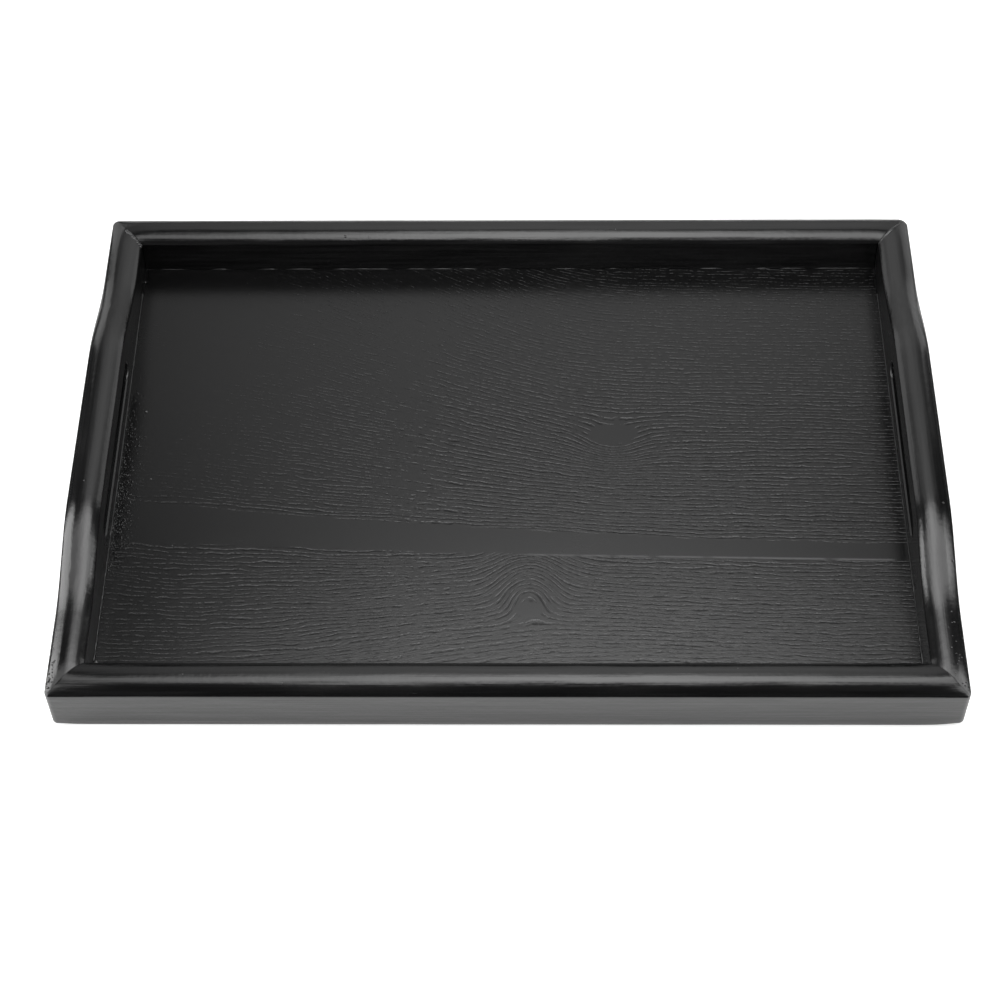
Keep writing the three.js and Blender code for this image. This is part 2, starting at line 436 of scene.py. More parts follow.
def new_material(name: str) -> tuple[bpy.types.Material, Wiring]:
    """Makes a material with an empty node tree."""
    material = bpy.data.materials.new(name)
    material.use_nodes = True
    material.node_tree.nodes.clear()
    return material, Wiring(material.node_tree)


@dataclass(frozen=True)
class Finish:
    """A finish: what every material here shares."""

    name: str
    roughness: float = 0.2
    ior: float = 1.5
    axis: GrainAxis = GrainAxis.LENGTHWISE

    def material(self) -> bpy.types.Material:
        """The finish's material, made when it is first asked for."""
        made = bpy.data.materials.get(self.name)
        if made:
            return made
        material, wiring = new_material(self.name)
        place = wiring.node("ShaderNodeTexCoord").outputs["Object"]
        turned = wiring.node("ShaderNodeMapping", {"Vector": place, "Rotation": (0, 0, self.axis.value)})
        inputs = {"Roughness": self.roughness, "IOR": self.ior}
        inputs.update(self.surface(wiring, turned.outputs[0]))
        shader = wiring.node("ShaderNodeBsdfPrincipled", inputs)
        wiring.node("ShaderNodeOutputMaterial", {"Surface": shader.outputs[0]})
        return material

    def surface(self, wiring: Wiring, vector: Socket) -> dict[str, object]:
        """What changes over the surface.

        Args:
            wiring: the material's tree.
            vector: object coordinates with X along the grain.

        Returns:
            Inputs of the surface shader by name.
        """
        raise NotImplementedError

    @staticmethod
    def bumped(wiring: Wiring, height: Value, depth: float) -> Socket:
        """A normal from a height, where a height of one stands a depth in millimetres high."""
        return wiring.node("ShaderNodeBump", {"Height": height, "Distance": depth * MM}).outputs[0]


@dataclass(frozen=True)
class GlossPaint(Finish):
    """Gloss black paint over sanded wood."""

    colour: Colour = (0.0024, 0.0024, 0.0025, 1.0)
    thin: Colour = (0.0075, 0.0075, 0.0077, 1.0)
    dust: Colour = (0.06, 0.06, 0.06, 1.0)
    peel: float = 0.12

    def surface(self, wiring: Wiring, vector: Socket) -> dict[str, object]:
        """Paint skin with streaks, specks, smudges and rub lines; painted shade on the handle rails' inner
        walls.
        """
        wall_shade = self.inner_walls(wiring)
        skin = PaintSkin().place(wiring, vector)
        marks = Handling().place(wiring, vector)
        streaked = wiring.mix(skin["Streaks"], self.colour, self.thin)
        # The inner walls are rougher here as part of their painted shade.
        rough = marks["Smudge"] * 0.08 + marks["Rub"] * 0.06 + skin["Specks"] * 0.2 + wall_shade * 0.1
        return {
            "Base Color": wiring.mix(skin["Specks"] * 0.5, streaked, self.dust),
            # Painted shade: the inner walls reflect less.
            "Specular IOR Level": 0.5 - wall_shade * 0.30,
            "Roughness": rough + self.roughness,
            "Normal": self.bumped(wiring, skin["Height"], self.peel),
        }

    @staticmethod
    def inner_walls(wiring: Wiring) -> Value:
        """One on upright walls that face the tray's middle along X, and zero elsewhere."""
        here = wiring.node("ShaderNodeNewGeometry").outputs
        side = wiring.parts(here["Position"])[0].work("SIGN")
        return (wiring.parts(here["Normal"])[0] * side * -1.0).step(0.80, 0.95)


@dataclass(frozen=True)
class OpenPoreVeneer(Finish):
    """Thin black paint over veneer, with the pores left open."""

    colour: Colour = (0.0022, 0.0022, 0.0023, 1.0)
    # The flecks' pale colour: partly dust in the pores, partly painted glints.
    pore_fleck_and_glint: Colour = (0.078, 0.078, 0.079, 1.0)
    relief: float = 0.070
    start: Point = (0.0, 0.0, 0.0)

    def surface(self, wiring: Wiring, vector: Socket) -> dict[str, object]:
        """Flecks in broken grooves along the growth rings, pale partly from dust in the pores and partly as
        painted glints.
        """
        moved = wiring.node("ShaderNodeMapping", {"Vector": vector, "Location": self.start}).outputs[0]
        figure = VeneerFigure().place(wiring, moved)
        marks = Handling().place(wiring, moved)
        rough = figure["Pores"] * 0.12 + marks["Smudge"] * 0.03 + marks["Rub"] * 0.03
        return {
            # Painted glints: the flecks lighten the base colour.
            "Base Color": wiring.mix(figure["Pores"], self.colour, self.pore_fleck_and_glint),
            # Painted shade: less specular on one side of each groove.
            "Specular IOR Level": 0.5 - figure["Pits"] * 0.34,
            "Roughness": rough + self.roughness,
            "Normal": self.bumped(wiring, figure["Relief"], self.relief),
        }


@dataclass(frozen=True)
class BareCore(Finish):
    """Sawn wood-fibre sheet inside the base panel."""

    light: Colour = (0.50, 0.33, 0.17, 1.0)
    dark: Colour = (0.30, 0.18, 0.08, 1.0)
    relief: float = 0.05

    def surface(self, wiring: Wiring, vector: Socket) -> dict[str, object]:
        """Short fibres in two browns."""
        fibres = wiring.fibres(vector, along=300.0, across=900.0, detail=3.0)
        return {
            "Base Color": wiring.mix(fibres.step(0.35, 0.65), self.dark, self.light),
            "Normal": self.bumped(wiring, fibres, self.relief),
        }


@dataclass(frozen=True)
class BrightWire(Finish):
    """Drawn steel wire of the brads."""

    colour: Colour = (0.42, 0.42, 0.43, 1.0)
    dull: Colour = (0.27, 0.26, 0.25, 1.0)
    relief: float = 0.006

    def surface(self, wiring: Wiring, vector: Socket) -> dict[str, object]:
        """Draw lines along the wire with dull patches."""
        lines = wiring.fibres(vector, along=120.0, across=6000.0, detail=2.0)
        patches = wiring.noise(vector, scale=500.0, detail=2.0).step(0.45, 0.65)
        return {
            "Base Color": wiring.mix(patches, self.colour, self.dull),
            "Metallic": 1.0,
            "Roughness": patches * 0.2 + self.roughness,
            "Normal": self.bumped(wiring, lines, self.relief),
        }


class GeometryRule:
    """A Geometry Nodes tree with named numbers, run on an object and left as a plain mesh."""

    name = ""
    inputs: tuple[str, ...] = ()

    def tree(self) -> bpy.types.NodeTree:
        """The rule's tree, made when it is first asked for."""
        made = bpy.data.node_groups.get(self.name)
        if made:
            return made
        tree = bpy.data.node_groups.new(self.name, "GeometryNodeTree")
        kinds = {"Geometry": "NodeSocketGeometry", "Material": "NodeSocketMaterial"}
        for name in ("Geometry", *self.inputs, "Material"):
            kind = kinds.get(name, "NodeSocketFloat")
            tree.interface.new_socket(name=name, in_out="INPUT", socket_type=kind)
        tree.interface.new_socket(name="Geometry", in_out="OUTPUT", socket_type="NodeSocketGeometry")
        wiring = Wiring(tree)
        given = wiring.node("NodeGroupInput").outputs
        numbers = {name: Value(wiring, given[name]) for name in self.inputs}
        shaped = self.wire(wiring, given["Geometry"], numbers)
        smooth = wiring.node("GeometryNodeSetShadeSmooth", {"Geometry": shaped})
        real = wiring.node("GeometryNodeRealizeInstances", {"Geometry": smooth.outputs[0]})
        inputs = {"Geometry": real.outputs[0], "Material": given["Material"]}
        dressed = wiring.node("GeometryNodeSetMaterial", inputs)
        wiring.node("NodeGroupOutput", {0: dressed.outputs[0]})
        return tree

    def wire(self, wiring: Wiring, geometry: Socket, given: dict[str, Value]) -> Socket:
        """Builds the inside of the tree.

        Args:
            wiring: the rule's tree.
            geometry: what the rule starts from.
            given: the rule's named numbers.

        Returns:
            The shaped geometry.
        """
        raise NotImplementedError

    def run(self, piece: bpy.types.Object, finish: Finish, sizes: dict[str, float]) -> None:
        """Runs the rule on a piece and leaves the result as its mesh.

        Args:
            piece: the object that holds what the rule starts from.
            finish: the finish that the result gets.
            sizes: the rule's numbers by name, lengths in metres.
        """
        modifier = piece.modifiers.new(self.name, "NODES")
        modifier.node_group = self.tree()
        values = dict(sizes, Material=finish.material())
        for item in modifier.node_group.interface.items_tree:
            if item.in_out == "INPUT" and item.name in values:
                modifier[item.identifier] = values[item.name]
        graph = bpy.context.evaluated_depsgraph_get()
        evaluated = piece.evaluated_get(graph)
        shaped = bpy.data.meshes.new_from_object(evaluated, preserve_all_data_layers=True, depsgraph=graph)
        piece.modifiers.remove(modifier)
        start, piece.data = piece.data, shaped
        bpy.data.meshes.remove(start)
        shaped.name = piece.name

    @staticmethod
    def attribute(wiring: Wiring, name: str) -> Value:
        """A number that is kept on each point under a name."""
        return wiring.value("GeometryNodeInputNamedAttribute", {"Name": name}, data_type="FLOAT")

    @staticmethod
    def moved(wiring: Wiring, geometry: Socket, offset: Socket) -> Socket:
        """Geometry with its points moved."""
        return wiring.node("GeometryNodeSetPosition", {"Geometry": geometry, "Offset": offset}).outputs[0]

    def pushed(self, wiring: Wiring, geometry: Socket, distance: Value) -> Socket:
        """Geometry with its points moved along their normals."""
        normal = wiring.node("GeometryNodeInputNormal").outputs[0]
        return self.moved(wiring, geometry, wiring.scaled(normal, distance))


class RailShaping(GeometryRule):
    """Raises a rail blank along its S-curve and gives its faces the slight waves of hand sanding."""

    name = "rail_shaping"
    inputs = ("Lift", "Grip", "Ramp", "Wave Height", "Flat Depth", "Seed")
    noise_top = 0.75

    def wire(self, wiring: Wiring, geometry: Socket, given: dict[str, Value]) -> Socket:
        """Lifts each point by its share of the curve, then sinks it by waves and long flats."""
        along, across = self.attribute(wiring, "along"), self.attribute(wiring, "across")
        past = ((abs(along) - given["Grip"] * 0.5) / given["Ramp"]).work("MAXIMUM", 0.0).work("MINIMUM", 1.0)
        curve = (past * math.pi).work("COSINE") * 0.5 + 0.5
        lift = given["Lift"] * curve * self.attribute(wiring, "rise_share")
        raised = self.moved(wiring, geometry, wiring.vector(0.0, 0.0, lift))
        place = wiring.node("GeometryNodeInputPosition").outputs[0]
        long_wave = wiring.noise(place, scale=28.0, detail=1.0, seed=given["Seed"]) - self.noise_top
        short_wave = wiring.noise(place, scale=110.0, detail=0.0, seed=given["Seed"] + 5.0) - self.noise_top
        flats = wiring.grain(along, across, along=13.0, across=230.0, seed=given["Seed"] + 9.0)
        flat = flats - self.noise_top
        wave = (long_wave * 2.0 + short_wave * 0.45) * given["Wave Height"] + flat * given["Flat Depth"]
        return self.pushed(wiring, raised, wave)


class PaintBead(GeometryRule):
    """Runs a bead of paint of uneven girth along lines."""

    name = "paint_bead"
    inputs = ("Radius", "Spacing", "Uneven", "Wander", "Seed")
    sides = 8
    thinnest = 0.15

    def wire(self, wiring: Wiring, geometry: Socket, given: dict[str, Value]) -> Socket:
        """Sweeps a round section along the lines, with its girth and place moved by noise."""
        lines = wiring.node("GeometryNodeMeshToCurve", {"Mesh": geometry})
        inputs = {"Curve": lines.outputs[0], "Length": given["Spacing"]}
        even = wiring.node("GeometryNodeResampleCurve", inputs, mode="LENGTH")
        place = wiring.node("GeometryNodeInputPosition").outputs[0]
        inputs = {"Vector": place, "W": given["Seed"], "Scale": 300.0, "Detail": 1.0}
        shake = wiring.node("ShaderNodeTexNoise", inputs, noise_dimensions="4D").outputs["Color"]
        centred = wiring.node("ShaderNodeVectorMath", {0: shake, 1: (0.5, 0.5, 0.5)}, operation="SUBTRACT")
        path = self.moved(wiring, even.outputs[0], wiring.scaled(centred.outputs[0], given["Wander"]))
        swell = wiring.noise(place, scale=170.0, detail=2.0, seed=given["Seed"] + 2.0) - 0.5
        share = (swell * 3.0 * given["Uneven"] + 1.0).work("MAXIMUM", self.thinnest)
        girth = self.attribute(wiring, "girth") * share
        inputs = {"Resolution": self.sides, "Radius": given["Radius"]}
        section = wiring.node("GeometryNodeCurvePrimitiveCircle", inputs).outputs[0]
        inputs = {"Curve": path, "Profile Curve": section, "Scale": girth, "Fill Caps": True}
        return wiring.node("GeometryNodeCurveToMesh", inputs).outputs[0]


class GrainRule(GeometryRule):
    """A rule that sets small lumps of paint on points."""

    segments = 8
    bands = 5

    def lumps(self, wiring: Wiring, points: Socket, turn: Socket, size: Socket,
              given: dict[str, Value]) -> Socket:
        """Sets an uneven ball on each point.

        Args:
            wiring: the rule's tree.
            points: where the lumps go.
            turn: which way each one faces.
            size: its size along, across and up.
            given: the rule's named numbers.

        Returns:
            The lumps.
        """
        inputs = {"Segments": self.segments, "Rings": self.bands, "Radius": 1.0}
        ball = wiring.node("GeometryNodeMeshUVSphere", inputs).outputs[0]
        inputs = {"Points": points, "Instance": ball, "Rotation": turn, "Scale": size}
        set_down = wiring.node("GeometryNodeInstanceOnPoints", inputs)
        real = wiring.node("GeometryNodeRealizeInstances", {"Geometry": set_down.outputs[0]})
        place = wiring.node("GeometryNodeInputPosition").outputs[0]
        dent = (wiring.noise(place, scale=1300.0, seed=given["Seed"]) - 0.5) * 2.0 * given["Lumpy"]
        return self.pushed(wiring, real.outputs[0], dent)


class GrainsOnPoints(GrainRule):
    """Sets a lump of paint of a given size on each point, turned to face away from the surface."""

    name = "grains_on_points"
    inputs = ("Flat", "Lumpy", "Seed")

    def wire(self, wiring: Wiring, geometry: Socket, given: dict[str, Value]) -> Socket:
        """Takes each lump's size and facing from its point."""
        points = wiring.node("GeometryNodeMeshToPoints", {"Mesh": geometry})
        facing = wiring.node("GeometryNodeInputNamedAttribute", {"Name": "facing"}, data_type="FLOAT_VECTOR")
        turn = wiring.node("FunctionNodeAlignRotationToVector", {"Vector": facing.outputs[0]}, axis="Z")
        girth = self.attribute(wiring, "girth")
        size = wiring.vector(girth * self.attribute(wiring, "stretch"), girth, girth * given["Flat"])
        return self.lumps(wiring, points.outputs[0], turn.outputs[0], size, given)


class ScatteredGrains(GrainRule):
    """Scatters lumps of paint over faces, thicker where the faces say so."""

    name = "scattered_grains"
    inputs = ("Density", "Smallest", "Largest", "Flat", "Lumpy", "Seed")

    def wire(self, wiring: Wiring, geometry: Socket, given: dict[str, Value]) -> Socket:
        """Spreads points at random and gives each a random size, small ones most often."""
        density = self.attribute(wiring, "thick") * given["Density"]
        inputs = {"Mesh": geometry, "Density": density, "Seed": given["Seed"]}
        spread = wiring.node("GeometryNodeDistributePointsOnFaces", inputs).outputs
        chance = wiring.value("FunctionNodeRandomValue", {2: 0.0, 3: 1.0, "Seed": given["Seed"]}, 1)
        girth = given["Smallest"] + (given["Largest"] - given["Smallest"]) * chance * chance
        size = wiring.vector(girth, girth, girth * given["Flat"])
        return self.lumps(wiring, spread["Points"], spread["Rotation"], size, given)


class Numbers(Enum):
    """Where a mesh keeps a named number, by the number's form."""

    FLOAT = "value"
    FLOAT_VECTOR = "vector"


def new_piece(name: str, points: np.ndarray, faces: list, edges: list | None = None) -> bpy.types.Object:
    """Makes an object from points in millimetres.

    Args:
        name: the object's name.
        points: the points, one row each.
        faces: point numbers of each face.
        edges: point numbers of loose edges.

    Returns:
        The object, in the scene and at the origin.
    """
    mesh = bpy.data.meshes.new(name)
    mesh.from_pydata((np.asarray(points) * MM).tolist(), edges or [], faces)
    piece = bpy.data.objects.new(name, mesh)
    bpy.context.scene.collection.objects.link(piece)
    return piece


def new_panel(name: str, points: np.ndarray) -> tuple[bpy.types.Object, Wiring]:
    """Makes a four-cornered panel with a material of its own, whose nodes are still to be wired."""
    panel = new_piece(name, points, [(0, 1, 2, 3)])
    material, wiring = new_material(name)
    panel.data.materials.append(material)
    return panel, wiring


def grid_faces(number: np.ndarray) -> list[list[int]]:
    """The faces between neighbours in a grid of point numbers."""
    corners = (number[:-1, :-1], number[1:, :-1], number[1:, 1:], number[:-1, 1:])
    return np.stack(corners, axis=-1).reshape(-1, 4).tolist()


def ring_faces(near: list[int], far: list[int]) -> list[list[int]]:
    """The faces between two closed rings of point numbers."""
    return [list(face) for face in zip(near, near[1:] + near[:1], far[1:] + far[:1], far)]


def line_edges(count: int, first: int = 0) -> list[Place]:
    """The edges along a line of points, from the number of its first one."""
    return [(first + index, first + index + 1) for index in range(count - 1)]


def keep_numbers(piece: bpy.types.Object, name: str, numbers: np.ndarray,
                 form: Numbers = Numbers.FLOAT) -> None:
    """Keeps a number or a vector on each point of a piece under a name."""
    kept = piece.data.attributes.new(name, form.name, "POINT")
    kept.data.foreach_set(form.value, np.asarray(numbers, np.float32).ravel())


def face_outwards(piece: bpy.types.Object) -> None:
    """Turns all faces of a closed piece to point outwards."""
    form = bmesh.new()
    form.from_mesh(piece.data)
    bmesh.ops.recalc_face_normals(form, faces=form.faces)
    form.to_mesh(piece.data)
    form.free()


def shade_smooth(piece: bpy.types.Object, crease: float = 25.0) -> None:
    """Shades a piece smooth but for edges that turn by more than a number of degrees."""
    piece.data.shade_smooth()
    piece.data.set_sharp_from_angle(angle=math.radians(crease))


def hand_over(piece: bpy.types.Object, slot: str, *nodes: str) -> None:
    """Gives a finished piece to the frame: its body and the nodes that it stands for."""
    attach(piece, BODY)
    if nodes:
        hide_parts(*nodes)
    stands_for = ", ".join(nodes) or "no node"
    LOG.info("%s: %d faces, stands for %s", piece.name, len(piece.data.polygons), stands_for)


@dataclass(frozen=True)
class Corner:
    """How one corner of the tray was sanded.

    The loss is the share of the crown that went at the corner, the reach and side reach how far that goes
    along the long rail and the side rail, the radius the corner's own seen from above, and the worn foot its
    missing height.
    """

    loss: float
    reach: float
    side_reach: float
    radius: float = 2.5
    worn_foot: float = 0.5


@dataclass(frozen=True)
class TraySizes:
    """The tray's main sizes, which the rails and the base share."""

    length: float = 400.0
    width: float = 270.0
    height: float = 40.5
    grip_lift: float = 10.5
    base_edge: float = 10.5
    seam: float = 16.1
    base_top: float = 6.8
    front_left: Corner = Corner(0.52, 15.0, 7.0, worn_foot=0.9)
    front_right: Corner = Corner(0.55, 9.0, 6.0, worn_foot=2.0)
    back_left: Corner = Corner(0.50, 9.0, 8.0, radius=3.2)
    back_right: Corner = Corner(0.42, 8.0, 8.0, radius=4.5)


class RailSide(Enum):
    """The four rails: quarter turns from the front rail, and the corners at their low and high end."""

    FRONT = (0, "front_left", "front_right")
    RIGHT = (1, "front_right", "back_right")
    BACK = (2, "back_right", "back_left")
    LEFT = (3, "back_left", "front_left")

    def place(self, tray: TraySizes, along: np.ndarray, across: np.ndarray) -> tuple[np.ndarray, np.ndarray]:
        """Where a rail's point lies on the tray.

        Args:
            tray: the tray's sizes.
            along: distance from the rail's middle.
            across: distance from the rail's outer face.

        Returns:
            The point's x and y.
        """
        reach = (tray.width if self.value[0] % 2 == 0 else tray.length) / 2
        x, y = along, across - reach
        for _ in range(self.value[0]):
            x, y = -y, x
        return x, y

    def corners(self, tray: TraySizes) -> tuple[Corner, Corner]:
        """The corners at the rail's low and high end."""
        return getattr(tray, self.value[1]), getattr(tray, self.value[2])


class RowKind(Enum):
    """What sets the height of a row of points along a rail."""

    FIXED = 0
    BELOW_SLOT = 1
    ABOVE_SLOT = 2
    CROWN = 3


@dataclass(frozen=True)
class Row:
    """One row of points along a rail.

    A fixed row has its height, a wall row its share of the way to or from the slot, starting at its height,
    and a crown row is read from the crown at a place across, in part and less a drop.
    """

    kind: RowKind
    across: float
    height: float = 0.0
    share: float = 1.0
    read_at: float = 0.0
    drop: float = 0.0


@dataclass(frozen=True)
class RailSection:
    """The rails' section: sides up to a shoulder line, then a rounded crown.

    The lean is how far the outer shoulder stands in over the foot, and the flare how much more the inner one
    does. The edge share is how much of the shoulder's ease the first row inside it has.
    """

    thickness: float = 15.8
    lean: float = 1.1
    flare: float = 0.0
    shoulder: float = 26.0
    rise: float = 3.9
    foot_ease: float = 0.8
    shoulder_ease: float = 0.35
    edge_share: float = 0.25
    groove_depth: float = 5.8
    groove_floor: float = 3.3
    groove_top: float = 7.0
    wall_middle: float = 19.5
    foot_steps: int = 3
    under_steps: int = 5
    crown_steps: int = 40
    wall_steps: int = 6

    @property
    def radius(self) -> float:
        """The radius of the crown."""
        return ((self.thickness / 2) ** 2 + self.rise**2) / (2 * self.rise)

    def crown(self, across: np.ndarray) -> np.ndarray:
        """How far the crown stands above the shoulder at places across the upright rail."""
        round_part = np.sqrt(np.maximum(self.radius**2 - (across - self.thickness / 2) ** 2, 0.0))
        return round_part - (self.radius - self.rise)

    def tip(self, across: np.ndarray) -> np.ndarray:
        """How far leaning in raises the crown, or lowers it, at places across the rail."""
        return (self.thickness / 2 - across) * self.lean / self.shoulder

    def shift(self, height: np.ndarray, across: np.ndarray) -> np.ndarray:
        """How far the lean and the flare move the upright section's points across."""
        return (self.lean + self.flare * across / self.thickness) * np.maximum(height, 0.0) / self.shoulder

    def rows(self) -> list[Row]:
        """The rows round the section, from the outer foot by the underside, inner wall and crown."""
        return self.bottom_rows() + self.wall_rows(True) + self.crown_rows() + self.wall_rows(False)

    def bottom_rows(self) -> list[Row]:
        """The rows of the eased feet, the underside between them and the groove's floor."""
        wide, ease = self.thickness, self.foot_ease
        turns = np.linspace(0.0, math.pi / 2, self.foot_steps + 1)
        outer = [Row(RowKind.FIXED, ease * (1 - math.cos(t)), ease * (1 - math.sin(t))) for t in turns]
        under = [Row(RowKind.FIXED, u) for u in np.linspace(ease, wide - ease, self.under_steps + 1)[1:-1]]
        inner = [Row(RowKind.FIXED, wide - row.across, row.height) for row in reversed(outer)]
        back = wide - self.groove_depth
        groove = [(wide, self.groove_floor), (back, self.groove_floor), (back, self.groove_top)]
        return outer + under + inner + [Row(RowKind.FIXED, u, w) for u, w in groove]

    def wall_rows(self, inner: bool) -> list[Row]:
        """The rows of the inner wall from the groove upwards, or of the outer one down to the eased foot."""
        shares = np.linspace(0.0, 1.0, self.wall_steps + 1)
        if inner:
            below = [Row(RowKind.BELOW_SLOT, self.thickness, self.groove_top, t) for t in shares]
            return below + [Row(RowKind.ABOVE_SLOT, self.thickness, share=t) for t in shares]
        above = [Row(RowKind.ABOVE_SLOT, 0.0, share=t) for t in shares[::-1]]
        return above + [Row(RowKind.BELOW_SLOT, 0.0, self.foot_ease, t) for t in shares[:0:-1]]

    def crown_rows(self) -> list[Row]:
        """The rows over the crown from the inner shoulder to the outer one, closer at both."""
        wide, first, part = self.thickness, self.shoulder_ease / 2, self.edge_share
        count = self.crown_steps + 1
        close = wide / 2 - (wide / 2 - first) * np.cos(np.linspace(0.0, math.pi, count))
        spots = (close + np.linspace(first, wide - first, count)) / 2
        drop = self.shoulder_ease * part
        outer_edge = Row(RowKind.CROWN, first * part, share=part, read_at=first, drop=drop)
        inner_edge = Row(RowKind.CROWN, wide - first * part, share=part, read_at=wide - first, drop=drop)
        return [inner_edge] + [Row(RowKind.CROWN, u, read_at=u) for u in spots[::-1]] + [outer_edge]


@dataclass(frozen=True)
class HandSlot:
    """The round-ended hand slot with its edges rounded over on both faces."""

    length: float = 98.0
    height: float = 11.0
    floor: float = 14.0
    ease: float = 1.2
    end_steps: int = 10
    level_steps: int = 39
    ease_steps: int = 6
    wall_steps: int = 5
    closed_share: float = 1e-3

    @property
    def middle(self) -> float:
        """The height of the slot's middle line."""
        return self.floor + self.height / 2

    @property
    def straight(self) -> float:
        """The distance from the slot's middle to the centre of a round end."""
        return (self.length - self.height) / 2

    @property
    def mouth(self) -> float:
        """The radius of a round end at the face."""
        return self.height / 2 + self.ease

    def stations(self) -> np.ndarray:
        """The places along the rail where the mouth has points."""
        ends = self.straight + self.mouth * np.sin(np.linspace(0.0, math.pi / 2, self.end_steps + 1))
        level = np.linspace(-self.straight, self.straight, self.level_steps + 1)[1:-1]
        return np.concatenate([-ends[::-1], level, ends])

    def half_opening(self, along: np.ndarray) -> np.ndarray:
        """Half the mouth's height at places along the rail, zero past its ends."""
        past = np.maximum(np.abs(along) - self.straight, 0.0)
        opening = np.sqrt(np.maximum(self.mouth**2 - past**2, 0.0))
        return np.where(opening < self.closed_share * self.mouth, 0.0, opening)

    def depths(self, thickness: float) -> list[Place]:
        """Steps through the rail: the depth from the outer face, and how far the edge flares there."""
        turns = np.linspace(0.0, math.pi / 2, self.ease_steps + 1)
        outer = [(self.ease * (1 - math.cos(t)), self.ease * (1 - math.sin(t))) for t in turns]
        through = np.linspace(self.ease, thickness - self.ease, self.wall_steps + 1)[1:-1]
        inner = [(thickness - depth, flare) for depth, flare in reversed(outer)]
        return outer + [(depth, 0.0) for depth in through] + inner


